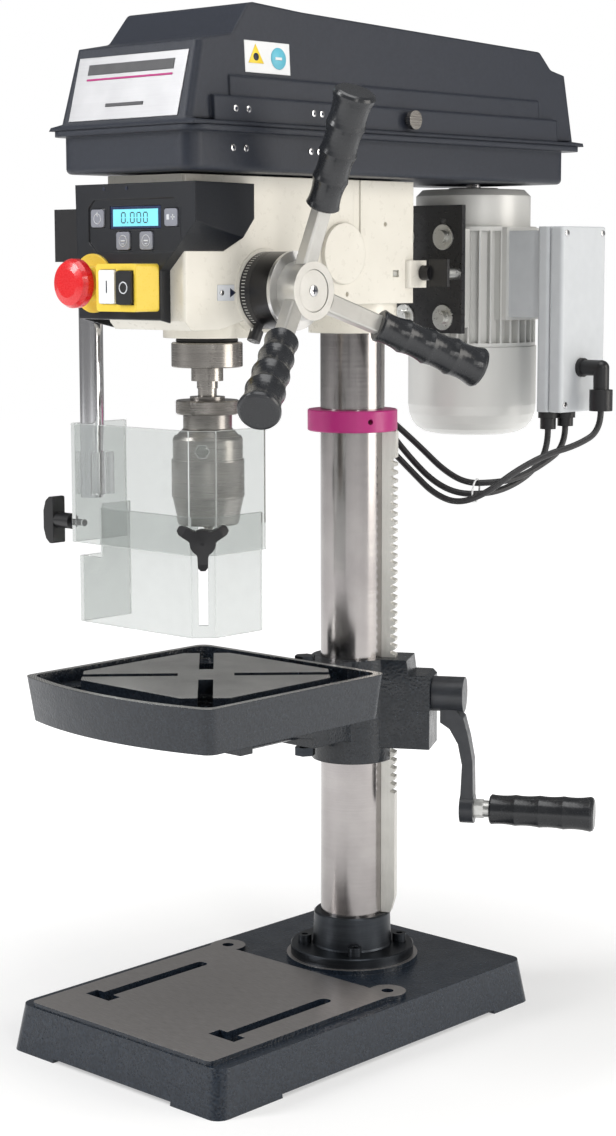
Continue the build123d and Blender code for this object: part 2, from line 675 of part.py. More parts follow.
# ---------------------------------------------------------------- motor
MOTOR_R = 62.0
PLATE_Y = 103.0


def slide_bars():
    """Two ground bars on which the motor slides."""
    return [disc_y(SLIDE_R, -70, PLATE_Y, side * SLIDE_X, SLIDE_Z) for side in (-1, 1)]


def motor_plate():
    """Motor mounting plate with four upright slots."""
    plate = box(-46.7, 46.7, PLATE_Y, PLATE_Y + 5, 637, 758)
    for side in (-1, 1):
        for low, high in ((648, 660), (722, 745)):
            plate -= box(side * 24 - 3.2, side * 24 + 3.2, 100, 110, low, high)
    return plate


def plate_screws():
    """Four screws with washers that hold the motor on its plate."""
    return [disc_y(12, PLATE_Y - 1.5, PLATE_Y, side * 24, z)
            + disc_y(6.5, PLATE_Y - 6.5, PLATE_Y - 1.5, side * 24, z)
            + disc_y(3, PLATE_Y - 2, PLATE_Y + 5, side * 24, z)
            for side in (-1, 1) for z in (652, 728)]


def motor_body():
    """Finned motor housing with its mounting feet."""
    body = disc_z(54, 623, 738.4, 0, MOTOR_Y)
    for index in range(FIN_COUNT):
        fin = box(50, MOTOR_R, -1.1, 1.1, 627, 736)
        body += Pos(0, MOTOR_Y, 0) * Rot(0, 0, 360 * (index + 0.5) / FIN_COUNT) * fin
    body += disc_z(MOTOR_R, 623, 627, 0, MOTOR_Y) + disc_z(MOTOR_R, 734, 738.4, 0, MOTOR_Y)
    body += box(-36, 36, PLATE_Y + 5, MOTOR_Y - 50, 642, 736)
    for low, high in ((640, 664), (716, 740)):
        body -= box(-50, 50, PLATE_Y + 4, PLATE_Y + 4.9, low, high)
    body += box(44, 62, MOTOR_Y - 26, MOTOR_Y + 26, 649, 737)
    return body - disc_z(7 + RUN, 600, 760, 0, MOTOR_Y)


FIN_COUNT = 36


def motor_cap():
    """Upper bearing cap of the motor, with its clamp nut."""
    cap = turned([(7 + RUN, 738.4), (56, 738.4), (56, 768), (50, 774), (24, 774), (24, 776),
                  (7 + RUN, 776)], 0, MOTOR_Y)
    return cap


def fan_cover():
    """Rounded fan cowl with air slots, open inside."""
    cowl = turned([(0, 537), (38, 537), (47, 539), (54, 543), (59, 549), (62, 557), (63, 566),
                   (63, 623), (60.5, 623), (60.5, 566), (59.3, 558), (56.6, 551), (52, 545.4),
                   (46, 541.4), (38, 539.5), (0, 539.5)], 0, MOTOR_Y)
    for index in range(12):
        slot = box(16, 38, -2.2, 2.2, 530, 545)
        cowl -= Pos(0, MOTOR_Y, 0) * Rot(0, 0, 30 * index) * slot
    return cowl


def motor_fan():
    """Cooling fan on the lower end of the motor's shaft."""
    fan = disc_z(16, 566, 590, 0, MOTOR_Y)
    for index in range(7):
        blade = Rot(0, 0, 360 / 7 * index) * box(14, 52, -1.2, 1.2, 568, 588)
        fan += Pos(0, MOTOR_Y, 0) * blade
    return fan - disc_z(7, 560, 600, 0, MOTOR_Y)


def control_box():
    """Capacitor and terminal box beside the motor, with its neck."""
    case = rounded_block(100, 114, 149.5, 219.5, 563, 737.5, 4)
    case += box(62, 101, MOTOR_Y - 22, MOTOR_Y + 22, 652, 734)
    return case - box(103, 115, 152.5, 216.5, 566, 734.5)


def control_box_lid():
    """Lid of the control box."""
    lid = rounded_block(114, 130, 149.5, 219.5, 563, 737.5, 4)
    lid = fillet(lid.faces().sort_by(Axis.X)[-1].edges(), 2)
    return lid - box(113, 127, 152.5, 216.5, 566, 734.5)


def cable_glands():
    """Elbow gland on the side of the box and two straight glands below it."""
    elbow = disc_x(9, 130, 134, 180.4, 605) + disc_x(7.5, 134, 154, 180.4, 605)
    elbow += Pos(154, 180.4, 605) * Sphere(7.5) + disc_z(7.5, 584.7, 605, 154, 180.4)
    elbow += disc_z(11, 564.7, 584.7, 154, 180.4)
    glands = [elbow]
    for x, y, low in ((107.5, 160, 546.5), (116, 176, 549)):
        glands.append(disc_z(9.5, 557, 563, x, y) + disc_z(7.5, low, 557, x, y))
    return glands


def slide_lock_screw():
    """Wing screw that clamps the slide bar."""
    screw = disc_x(3, 46, 62, 40, SLIDE_Z + 0.6) + disc_x(7, 52, 62, 40, SLIDE_Z + 0.6)
    screw += rounded_block(60, 82, 38, 42, SLIDE_Z - 12, SLIDE_Z + 13, 1)
    return screw


# ---------------------------------------------------------------- front panel and switches
PANEL_Y = -274.0
KEYS = {
    "key_left": (-53.8, -37.8, 734, 749),
    "key_right": (36.4, 51.5, 734, 748.5),
    "key_low_left": (-22.4, -6.1, 715, 730),
    "key_low_right": (6.3, 21.6, 715, 730),
}
KEY_TRAVEL = 0.8
STOP_X, STOP_Z = -51.0, 687.0


def shell_block(inset):
    """Outer form of the front shell, shrunk by inset."""
    front = [(-73.5, 770), (-70.5, 657), (-66, 646), (30, 646), (30.3, 657), (30.3, 697.6),
             (73.2, 738), (73.2, 770)]
    plan = [(-73.5, PANEL_Y), (73.2, PANEL_Y), (56, -188), (-56, -188)]
    if inset:
        front = [(-73.5 + inset, 770 - inset), (-70.5 + inset, 657), (-66 + inset, 646 + inset),
                 (30 - inset, 646 + inset), (30.3 - inset, 697.6 + 1), (73.2 - inset, 739),
                 (73.2 - inset, 770 - inset)]
        plan = [(-73.5 + inset, PANEL_Y + inset), (73.2 - inset, PANEL_Y + inset),
                (56 - inset, -180), (-56 + inset, -180)]
    return prism_y(front, -300, -150) & prism_z(plan, 600, 800)


def front_shell():
    """Moulded front shell with the display panel, round the nose of the head."""
    shell = shell_block(0) - shell_block(WALL)
    lower = [(-280, 780), (-180, 780), (-180, 741), (-188, 741), (-232, 699), (-232, 647),
             (PANEL_Y, 657), (-280, 657)]
    shell &= prism_x(lower, -90, 90)
    shell -= box(-HEAD_X - GAP, HEAD_X + GAP, -262 - GAP, -170, 640, 790)
    octagon = [(-57, 722), (-57, 750), (-50, 757), (48, 757), (55, 750), (55, 722), (46, 713),
               (-48, 713)]
    shell -= prism_y(octagon, PANEL_Y - 1, PANEL_Y + 1)
    shell -= box(-31, 31, -276, -270, 732.4, 751.3)
    for left, right, low, high in KEYS.values():
        shell -= box(left - GAP, right + GAP, -276, -270, low - GAP, high + GAP)
    shell -= box(SWITCH_X[0] + 4, SWITCH_X[1] - 4, -276, -270, 668, 699)
    shell -= disc_y(9, -276, -270, STOP_X, STOP_Z)
    return shell - box(-80, -55, -270, -226, 703, 752)


SWITCH_X = (-19.6, 29.3)


def key_cap(name):
    """Flat key of the display panel."""
    left, right, low, high = KEYS[name]
    return rounded_y(left, right, low, high, PANEL_Y + 1 - KEY_TRAVEL - 0.3, -269.5, 2.5)


def rounded_y(x0, x1, z0, z1, y0, y1, radius):
    """Block along Y with rounded long edges."""
    block = box(x0, x1, y0, y1, z0, z1)
    return fillet(block.edges().filter_by(Axis.Y), radius)


def switch_housing():
    """Box of the magnetic switch, with a pocket for each button."""
    case = rounded_y(SWITCH_X[0], SWITCH_X[1], 664, 703.5, -300, PANEL_Y, 3)
    for left, right, low, high in (START, OFF):
        case -= box(left - GAP, right + GAP, -301, -284, low - GAP, high + GAP)
    return case


START = (-14.3, 4.8, 670.5, 698.4)
OFF = (7.8, 26.0, 670.0, 697.6)


def push_button(place, front):
    """Rocker-shaped push button."""
    left, right, low, high = place
    return rounded_y(left, right, low, high, front, -290, 2)


def stop_base():
    """Yellow disc and collar of the emergency stop."""
    base = disc_y(25, PANEL_Y - 2, PANEL_Y, STOP_X, STOP_Z)
    base += disc_y(15, -285, PANEL_Y - 2, STOP_X, STOP_Z)
    base += disc_y(8.8, PANEL_Y, -263, STOP_X, STOP_Z)
    return base - disc_y(6 + RUN, -290, -266, STOP_X, STOP_Z)


def emergency_button():
    """Mushroom head of the emergency stop on its stem."""
    head = Pos(STOP_X, -290, STOP_Z) * Rot(90, 0, 0) * turned(
        [(0, 0), (17, 0), (20.8, 3), (20.8, 9), (18.5, 13), (12, 15), (0, 15)])
    return head + disc_y(6, -290, -271, STOP_X, STOP_Z)


# ---------------------------------------------------------------- chuck guard
POST_X, POST_Y = -84.5, -248.8
POST_R = 10.5


def guard_switch_box():
    """Switch box of the guard, on the head's left side, with the post's bore."""
    case = rounded_block(-110, -66, -268, -228, 705, 750, 3)
    case += box(-67, -HEAD_X, -262, -228, 710, 745) - box(-64, -HEAD_X - 3, -258, -240, 700, 742)
    return case - disc_z(POST_R + RUN, 700, 745, POST_X, POST_Y)


def guard_post():
    """Chromed post that the guard hangs on."""
    return disc_z(POST_R, 500, 744, POST_X, POST_Y)


def guard_clamp():
    """Clamp block between the post and the guard."""
    block = box(-95.2, -70, -259.2, -236, 503, 540) - disc_z(POST_R, 500, 545, POST_X, POST_Y)
    return block


def guard_shell(inset, low, high, wall):
    """Three-sided clear box with a chamfered corner, open at the back."""
    def plan(shrink):
        left, right, front, back = -98 + shrink, 66 - shrink, -262 + shrink, -186
        side = 16.75 - 0.4 * shrink
        return [(left, -198), (left, front), (right - side, front), (right, front + side),
                (right, back), (left + 20, back - 0)]
    outer = prism_z(plan(inset), low, high)
    inner = [(x, y) for x, y in plan(inset + wall)]
    inner[0] = (inner[0][0], -150)
    inner[4] = (inner[4][0], -150)
    inner[5] = (0, -150)
    outer -= prism_z(inner, low - 1, high + 1)
    return outer - box(-97, 80, -186, -140, low, high) - box(-110, -90, -198, -140, low, high)


def guard_upper():
    """Upper clear screen of the chuck guard."""
    shell = guard_shell(0, 460, 565, WALL)
    shell -= around_chamfer(disc_y(3 + RUN, -10, 10), 472.6)
    return shell - disc_x(3 + RUN, -100, -94, -249, 476)


def around_chamfer(part, z):
    """Place a part drawn along -Y on the middle of the guard's chamfered corner."""
    return Pos(57.6, -253.6, z) * Rot(0, 0, 45) * part


def guard_lower():
    """Lower clear screen, which slides up inside the upper one."""
    shell = guard_shell(4.5, 389, 492, WALL)
    shell -= around_chamfer(box(-4, 4, -12, 16, 400, 485), 0)
    return shell - box(-100, -66, -265, -230, 448, 500)


def star_knob():
    """Domed three-lobed knob standing on z = 0, with its screw below."""
    star = disc_z(11, 0, 13)
    for angle in (-90, 30, 150):
        lobe = prism_z([(0, -8), (12, -4.6), (21, -4.2), (24, -2), (24, 2), (21, 4.2),
                        (12, 4.6), (0, 8)], 0, 13)
        star += Rot(0, 0, angle) * lobe
    return star & turned([(0, 0), (21, 0), (24, 2), (24, 8), (18, 11.5), (0, 13)])


def wing_knob():
    """Three-lobed knob that clamps the lower screen."""
    knob = Rot(90, 0, 0) * (Pos(0, 0, 4) * star_knob() + disc_z(7, 1.5, 5))
    return around_chamfer(knob + disc_y(3, -2, 8), 472.6)


def tee_knob():
    """Tee-handled clamp screw on the left of the guard."""
    knob = disc_x(3, -114, -95.4, -249, 476) + disc_x(7, -133, -112, -249, 476)
    bar = prism_y([(-131, 455), (-131, 497), (-136, 497), (-141, 493), (-144, 484), (-144, 468),
                   (-141, 459), (-136, 455)], -256, -242)
    return knob + fillet(bar.edges().filter_by(Axis.Y), 1.8)


save("belt_housing", belt_housing(), idler_post(), *lid_hinges())
save("cover_lid", cover_lid())
save("latch_knob", latch_knob())
save("drive_belts", *drive_belts())
save("spindle_pulley", spindle_pulley())
save("idler_pulley", idler_pulley())
save("motor_pulley", motor_pulley())
save("motor_rotor", motor_shaft(), motor_fan())
save("motor_slide", motor_plate(), *slide_bars(), *plate_screws())
save("motor_body", motor_body(), motor_cap())
save("fan_cover", fan_cover())
save("control_box", control_box(), control_box_lid())
save("cable_glands", *cable_glands())
save("slide_lock_screw", slide_lock_screw())
save("front_shell", front_shell())
save("switch_housing", switch_housing())
save("start_button", push_button(START, -302))
save("off_button", push_button(OFF, -303))
save("stop_base", stop_base())
save("emergency_button", emergency_button())
for key in KEYS:
    save(key, key_cap(key))
save("guard_switch_box", guard_switch_box())
save("guard_post", guard_post(), guard_clamp())
save("guard_upper", guard_upper())
save("guard_lower", guard_lower())
save("wing_knob", wing_knob())
save("tee_knob", tee_knob())


# ---------------------------------------------------------------- leads
LEAD_R = 3.0
LEAD_ROUTES = {
    "motor_lead": [(154, 180.4, 564.7), (154, 180.4, 546), (144, 158, 533), (129, 128, 525),
                   (114, 100, 510), (99, 76, 490), (76, 63, 480), (48, 61, 488), (20, 64, 506),
                   (-9, 60, 530), (-28, 49, 560), (-38, 36, 595), (-43, 26, 632), (-43, 26, 667)],
    "switch_lead": [(107.5, 160, 546.5), (107.5, 160, 524), (103, 136, 503), (95, 108, 491),
                    (86, 84, 488), (66, 71, 489), (40, 69, 499), (12, 71, 518), (-11, 66, 543),
                    (-24, 52, 575), (-31, 40, 605), (-34, 32, 637), (-34, 32, 667)],
    "sensor_lead": [(116, 176, 549), (116, 176, 529), (112, 145, 513), (103, 115, 501),
                    (94, 92, 499), (73, 79, 498), (46, 78, 509), (16, 80, 529), (-14, 73, 553),
                    (-38, 55, 578), (-50, 35, 603), (-44, 16, 634), (-44, 16, 667)],
}
END_SHARE = 0.45        # of the shorter run, taken by each arc


def lead(route):
    """Round lead along straight runs joined by tangent arcs; prints its radii."""
    points = [Vector(*point) for point in route]
    radii = []
    for before, corner, after in zip(points, points[1:], points[2:]):
        turn = (corner - before).get_angle(after - corner)
        shorter = min((corner - before).length, (after - corner).length)
        radii.append(END_SHARE * shorter / tan(radians(turn / 2)))
    path = FilletPolyline(*points, radius=radii)
    start = Plane(origin=points[0], z_dir=points[1] - points[0])
    tube = sweep(start * Circle(LEAD_R), path=path)
    share = tube.volume / (pi * LEAD_R ** 2 * path.length)
    print("radii", [round(radius) for radius in radii], "length", round(path.length),
          "volume ratio", round(share, 3))
    return tube


for node, route in LEAD_ROUTES.items():
    save(node, lead(route))
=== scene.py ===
"""Bench drill press: finishes and fittings round the fixed frame of the machine (metres, +Z up)."""
from math import cos, pi, radians, sin

import bpy
from mathutils import Matrix, Vector


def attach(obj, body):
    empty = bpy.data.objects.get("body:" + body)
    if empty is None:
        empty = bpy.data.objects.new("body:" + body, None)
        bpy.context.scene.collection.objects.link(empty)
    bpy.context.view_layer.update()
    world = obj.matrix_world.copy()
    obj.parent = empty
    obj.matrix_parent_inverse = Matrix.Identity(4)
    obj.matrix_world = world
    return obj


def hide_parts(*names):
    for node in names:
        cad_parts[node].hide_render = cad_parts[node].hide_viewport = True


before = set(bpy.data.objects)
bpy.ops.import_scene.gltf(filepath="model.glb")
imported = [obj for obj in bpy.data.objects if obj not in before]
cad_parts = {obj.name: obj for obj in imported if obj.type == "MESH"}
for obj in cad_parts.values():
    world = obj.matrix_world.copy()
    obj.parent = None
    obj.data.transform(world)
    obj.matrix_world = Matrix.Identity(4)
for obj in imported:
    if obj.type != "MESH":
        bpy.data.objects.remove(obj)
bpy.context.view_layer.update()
MM = 0.001
COLUMN_Y = 66.5          # the column stands this far behind the bench bolt line


def at(x, y, z):
    """A place given in millimetres from the column's axis at bench level."""
    return Vector((x * MM, (y + COLUMN_Y) * MM, z * MM))


# ---------------------------------------------------------------- studio
# A plain pale floor under the machine that grows brighter away from it, a tall soft lamp at the
# front left, a warm fill at the back right, a narrow one at the side and a wide one overhead.
def soft_lamp(name, place, target, size, power, colour=(1, 1, 1)):
    """Area lamp that faces a target."""
    lamp = bpy.data.lights.new(name, "AREA")
    lamp.shape = "RECTANGLE"
    lamp.size, lamp.size_y = size
    lamp.energy = power
    lamp.color = colour
    holder = bpy.data.objects.new(name, lamp)
    holder.location = place
    holder.rotation_euler = (target - place).to_track_quat("-Z", "Y").to_euler()
    bpy.context.scene.collection.objects.link(holder)


def select_none():
    """Deselect every object."""
    bpy.ops.object.select_all(action="DESELECT")


def plain_finish(name, colour, roughness, metallic=0.0):
    """Material with one shader, ready for a pattern."""
    finish = bpy.data.materials.new(name)
    finish.use_nodes = True
    shader = finish.node_tree.nodes["Principled BSDF"]
    shader.inputs["Base Color"].default_value = (*colour, 1)
    shader.inputs["Roughness"].default_value = roughness
    shader.inputs["Metallic"].default_value = metallic
    return finish


select_none()
bpy.ops.mesh.primitive_plane_add(size=14)
floor = bpy.context.active_object
floor.name = "studio_floor"
white_floor = plain_finish("white_floor", (0.55, 0.55, 0.55), 0.8)
white_floor.node_tree.nodes["Principled BSDF"].inputs["Emission Color"].default_value = (1, 1, 1, 1)
ground = white_floor.node_tree
ground_place = ground.nodes.new("ShaderNodeTexCoord")
ground_reach = ground.nodes.new("ShaderNodeVectorMath")
ground_reach.operation = "LENGTH"
ground.links.new(ground_place.outputs["Object"], ground_reach.inputs[0])
glow = ground.nodes.new("ShaderNodeMapRange")
GLOW_FROM, GLOW_TO = 0.3, 0.9      # metres from the machine
GLOW_NEAR, GLOW_FAR = 0.42, 0.86
for index, value in enumerate((GLOW_FROM, GLOW_TO, GLOW_NEAR, GLOW_FAR), start=1):
    glow.inputs[index].default_value = value
ground.links.new(ground_reach.outputs["Value"], glow.inputs["Value"])
ground.links.new(glow.outputs["Result"],
                 ground.nodes["Principled BSDF"].inputs["Emission Strength"])
floor.data.materials.append(white_floor)

middle = at(0, -60, 450)
soft_lamp("key_lamp", Vector((-1.5, -2.5, 2.1)), middle, (0.75, 2.0), 62)
soft_lamp("fill_lamp", Vector((2.7, 1.3, 1.2)), middle, (1.5, 2.2), 44, (1.0, 0.96, 0.90))
soft_lamp("side_lamp", Vector((3.2, -1.6, 1.7)), middle, (0.5, 1.6), 22, (1.0, 0.98, 0.95))
soft_lamp("top_lamp", Vector((0.3, -0.4, 3.0)), middle, (2.0, 2.0), 44)
studio = bpy.data.worlds.new("studio")
studio.use_nodes = True
sky = studio.node_tree
shown = sky.nodes.new("ShaderNodeLightPath")
seen = sky.nodes.new("ShaderNodeMath")
seen.operation = "MAXIMUM"
sky.links.new(shown.outputs["Is Camera Ray"], seen.inputs[0])
sky.links.new(shown.outputs["Is Transmission Ray"], seen.inputs[1])
AMBIENT = 0.22                     # light on the machine from all round
ambient = sky.nodes.new("ShaderNodeMath")
ambient.operation = "MAXIMUM"
ambient.inputs[1].default_value = AMBIENT
sky.links.new(seen.outputs[0], ambient.inputs[0])
sky.links.new(ambient.outputs[0], sky.nodes["Background"].inputs["Strength"])
sky.nodes["Background"].inputs["Color"].default_value = (1, 1, 1, 1)
bpy.context.scene.world = studio
bpy.context.scene.view_settings.view_transform = "Standard"

# ---------------------------------------------------------------- camera
# Long lens at chest height, to the front right of the machine.
CAMERA_PLACE = at(1383.24, -1555.8, 703.25)
CAMERA_TURN = radians(42.79)
CAMERA_PITCH = radians(7.78)
CAMERA_ROLL = radians(-0.11)
lens = bpy.data.cameras.new("camera")
lens.sensor_fit = "VERTICAL"
lens.sensor_height = 36
lens.lens = 70.6
camera = bpy.data.objects.new("camera", lens)
turn = Matrix.Rotation(CAMERA_TURN, 4, "Z") @ Matrix.Rotation(pi / 2 - CAMERA_PITCH, 4, "X")
camera.matrix_world = Matrix.Translation(CAMERA_PLACE) @ turn @ Matrix.Rotation(CAMERA_ROLL, 4, "Z")
bpy.context.scene.collection.objects.link(camera)
bpy.context.scene.camera = camera


# ---------------------------------------------------------------- finishing tools
# Small steps that every finish below is built from: a node, a noise field, a colour between two
# tones, a gloss range, and a relief on edges that are broken as a real edge is.
def add(finish, kind, **settings):
    """New node; names with a leading capital set its sockets, others its own settings."""
    node = finish.node_tree.nodes.new("ShaderNode" + kind)
    for name, value in settings.items():
        socket = node.inputs.get(name.replace("_", " "))
        if socket is None:
            setattr(node, name, value)
        elif isinstance(value, bpy.types.NodeSocket):
            finish.node_tree.links.new(value, socket)
        else:
            socket.default_value = value
    return node


def join(finish, output, *inputs):
    """Link one output to several inputs."""
    for socket in inputs:
        finish.node_tree.links.new(output, socket)


def shader_of(finish):
    """The material's shader."""
    return finish.node_tree.nodes["Principled BSDF"]


def place_in(finish, scale=(1, 1, 1), shift=(0, 0, 0)):
    """Object coordinates, scaled and moved."""
    coordinates = add(finish, "TexCoord")
    mapping = add(finish, "Mapping", Vector=coordinates.outputs["Object"], Scale=scale,
                  Location=shift)
    return mapping.outputs["Vector"]


def cloudy(finish, scale, detail=4.0, stretch=(1, 1, 1), rough=0.55):
    """Noise field; scale is in features per metre."""
    noise = add(finish, "TexNoise", Vector=place_in(finish, stretch), Scale=scale, Detail=detail,
                Roughness=rough)
    return noise.outputs["Fac"]


def spread(finish, field, low, high, to_low=0.0, to_high=1.0):
    """Map a field's range onto another, clamped."""
    node = add(finish, "MapRange", Value=field)
    for index, value in enumerate((low, high, to_low, to_high), start=1):
        node.inputs[index].default_value = value
    return node.outputs["Result"]


def sum_of(finish, kind, first, second=0.0):
    """One arithmetic step."""
    node = add(finish, "Math", operation=kind)
    for socket, value in zip(node.inputs, (first, second)):
        if isinstance(value, bpy.types.NodeSocket):
            join(finish, value, socket)
        else:
            socket.default_value = value
    return node.outputs[0]


def tone(finish, field, dark, light):
    """Colour between two tones."""
    mix = add(finish, "Mix", data_type="RGBA")
    join(finish, field, mix.inputs["Factor"])
    for socket, colour in ((mix.inputs[6], dark), (mix.inputs[7], light)):
        if isinstance(colour, bpy.types.NodeSocket):
            join(finish, colour, socket)
        else:
            socket.default_value = (*colour, 1)
    return mix.outputs[2]


def blend_of(finish, field, first, second):
    """Number between two numbers or fields."""
    mix = add(finish, "Mix", data_type="FLOAT")
    join(finish, field, mix.inputs["Factor"])
    for socket, value in ((mix.inputs[2], first), (mix.inputs[3], second)):
        if isinstance(value, bpy.types.NodeSocket):
            join(finish, value, socket)
        else:
            socket.default_value = value
    return mix.outputs[0]


def paint_with(finish, colour=None, roughness=None, metallic=None):
    """Link fields to the shader."""
    shader = shader_of(finish)
    for socket, field in (("Base Color", colour), ("Roughness", roughness),
                          ("Metallic", metallic)):
        if field is not None:
            join(finish, field, shader.inputs[socket])


def relief(finish, field=None, height=0.0002, strength=1.0, edge=0.0006):
    """Bump from a field, on edges broken to the given radius."""
    bevel = add(finish, "Bevel", samples=4, Radius=edge)
    normal = bevel.outputs["Normal"]
    if field is not None:
        bump = add(finish, "Bump", Strength=strength, Distance=height, Height=field, Normal=normal)
        normal = bump.outputs["Normal"]
    join(finish, normal, shader_of(finish).inputs["Normal"])


def object_axis(finish, axis):
    """One object coordinate, in metres."""
    coordinates = add(finish, "TexCoord")
    split = add(finish, "SeparateXYZ", Vector=coordinates.outputs["Object"])
    return split.outputs[axis]


def facing(finish, axis):
    """How far the surface faces along an object axis, from -1 to 1."""
    coordinates = add(finish, "TexCoord")
    split = add(finish, "SeparateXYZ", Vector=coordinates.outputs["Normal"])
    return split.outputs[axis]


def clad(finish, *names):
    """Give CAD nodes their finish."""
    for name in names:
        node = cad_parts[name]
        node.data.materials.clear()
        node.data.materials.append(finish)


def settle(piece, name, finish, body):
    """Freeze a finished piece in place, name it and let it ride."""
    select_none()
    piece.select_set(True)
    bpy.context.view_layer.objects.active = piece
    bpy.ops.object.transform_apply(location=True, rotation=True, scale=True)
    piece.name = name
    piece.data.materials.clear()
    piece.data.materials.append(finish)
    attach(piece, body)
    return piece


def block(centre, size, bevel=0.0005, segments=2):
    """Block of a size in millimetres, with broken edges."""
    select_none()
    bpy.ops.mesh.primitive_cube_add(size=1, location=centre)
    piece = bpy.context.active_object
    piece.scale = [value * MM for value in size]
    bpy.ops.object.transform_apply(location=False, rotation=False, scale=True)
    edge = piece.modifiers.new("edge", "BEVEL")
    edge.width = bevel
    edge.segments = segments
    bpy.ops.object.modifier_apply(modifier=edge.name)
    return piece


TURN_TO = {"X": (0, pi / 2, 0), "Y": (pi / 2, 0, 0), "Z": (0, 0, 0)}


def drum(centre, radius, depth, axis, bevel=0.0004, sides=48):
    """Round piece of a radius and depth in millimetres along X, Y or Z, with broken edges."""
    select_none()
    bpy.ops.mesh.primitive_cylinder_add(vertices=sides, radius=radius * MM, depth=depth * MM,
                                        location=centre, rotation=TURN_TO[axis])
    piece = bpy.context.active_object
    edge = piece.modifiers.new("edge", "BEVEL")
    edge.width = bevel
    edge.segments = 2
    edge.limit_method = "ANGLE"
    bpy.ops.object.modifier_apply(modifier=edge.name)
    bpy.ops.object.shade_smooth_by_angle(angle=radians(35))
    return piece


def as_one(pieces):
    """Join pieces into one object."""
    select_none()
    for piece in pieces:
        piece.select_set(True)
    bpy.context.view_layer.objects.active = pieces[0]
    bpy.ops.object.join()
    return bpy.context.active_object


# ---------------------------------------------------------------- leads
# Three rubber-sheathed leads run from the control box's glands, hang in a shallow bundle behind
# the column and go up into the head. A white cable tie holds the bundle.
LEAD_DIAMETER = 0.006
LEAD_ROUTES = {
    "motor_lead": [(154, 180.4, 564.7), (154, 180.4, 546), (144, 158, 533), (129, 128, 525),
                   (114, 100, 510), (99, 76, 490), (76, 63, 480), (48, 61, 488), (20, 64, 506),
                   (-9, 60, 530), (-28, 49, 560), (-38, 36, 595), (-43, 26, 632), (-43, 26, 667)],
    "switch_lead": [(107.5, 160, 546.5), (107.5, 160, 524), (103, 136, 503), (95, 108, 491),
                    (86, 84, 488), (66, 71, 489), (40, 69, 499), (12, 71, 518), (-11, 66, 543),
                    (-24, 52, 575), (-31, 40, 605), (-34, 32, 637), (-34, 32, 667)],
    "sensor_lead": [(116, 176, 549), (116, 176, 529), (112, 145, 513), (103, 115, 501),
                    (94, 92, 499), (73, 79, 498), (46, 78, 509), (16, 80, 529), (-14, 73, 553),
                    (-38, 55, 578), (-50, 35, 603), (-44, 16, 634), (-44, 16, 667)],
}
lead_rubber = plain_finish("lead_rubber", (0.018, 0.018, 0.02), 0.42)
paint_with(lead_rubber,
           roughness=spread(lead_rubber, cloudy(lead_rubber, 900), 0.3, 0.7, 0.34, 0.52))
relief(lead_rubber, cloudy(lead_rubber, 2500, 2), 0.00004, 0.4, 0.0002)
for name, route in LEAD_ROUTES.items():
    curve = bpy.data.curves.new(name + "_sheath", "CURVE")
    curve.dimensions = "3D"
    curve.bevel_depth = LEAD_DIAMETER / 2
    curve.bevel_resolution = 5
    curve.resolution_u = 12
    spline = curve.splines.new("NURBS")
    spline.points.add(len(route) - 1)
    for point, place in zip(spline.points, route):
        point.co = (*at(*place), 1)
    spline.order_u = 3
    spline.use_endpoint_u = True
    sheath = bpy.data.objects.new(name + "_sheath", curve)
    bpy.context.scene.collection.objects.link(sheath)
    curve.materials.append(lead_rubber)
    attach(sheath, "root")
    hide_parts(name)

# ---------------------------------------------------------------- base
# Hollow grey-iron base, sprayed with dark blue hammered enamel. The raised pad, the column seat
# and the two bolt bosses are milled bare after painting and have picked up a grey bloom.
def hammered(name, dark, light, milled=None):
    """Hammered enamel over rough casting; milled is a field that is 1 where the iron is bare."""
    finish = plain_finish(name, light, 0.4)
    dimples = add(finish, "TexVoronoi", Vector=place_in(finish), Scale=420, feature="SMOOTH_F1",
                  Smoothness=0.7)
    lumps = cloudy(finish, 60, 5)
    flecks = spread(finish, cloudy(finish, 700, 3), 0.56, 0.72)
    enamel = tone(finish, spread(finish, dimples.outputs["Distance"], 0.1, 0.75), dark, light)
    enamel = tone(finish, sum_of(finish, "MULTIPLY", flecks, 0.25), enamel, (0.07, 0.09, 0.12))
    gloss = spread(finish, lumps, 0.3, 0.7, 0.20, 0.34)
    height = sum_of(finish, "ADD", sum_of(finish, "MULTIPLY", dimples.outputs["Distance"], 0.5),
                    lumps)
    if milled is None:
        paint_with(finish, enamel, gloss)
        relief(finish, height, 0.0007, 0.55, 0.0012)
        return finish
    shader_of(finish).inputs["Specular IOR Level"].default_value = 0.5
    bare = milled(finish)
    streaks = cloudy(finish, 90, 6, (1, 14, 1))
    iron = tone(finish, spread(finish, streaks, 0.25, 0.75), (0.34, 0.32, 0.31), (0.52, 0.50, 0.49))
    paint_with(finish, tone(finish, bare, enamel, iron), blend_of(finish, bare, gloss, 0.36),
               sum_of(finish, "MULTIPLY", bare, 0.85))
    relief(finish, blend_of(finish, bare, height, sum_of(finish, "MULTIPLY", streaks, 0.12)),
           0.0007, 0.55, 0.0008)
    return finish


def above(level):
    """Field that is 1 on the flat tops above a height in millimetres."""
    def field(finish):
        high = sum_of(finish, "GREATER_THAN", object_axis(finish, "Z"), level * MM)
        flat = sum_of(finish, "GREATER_THAN", facing(finish, "Z"), 0.9)
        return sum_of(finish, "MULTIPLY", high, flat)
    return field


PAD_TOP = 45.3
base_enamel = hammered("base_enamel", (0.004, 0.007, 0.013), (0.015, 0.023, 0.036), above(PAD_TOP))
clad(base_enamel, "base_casting")

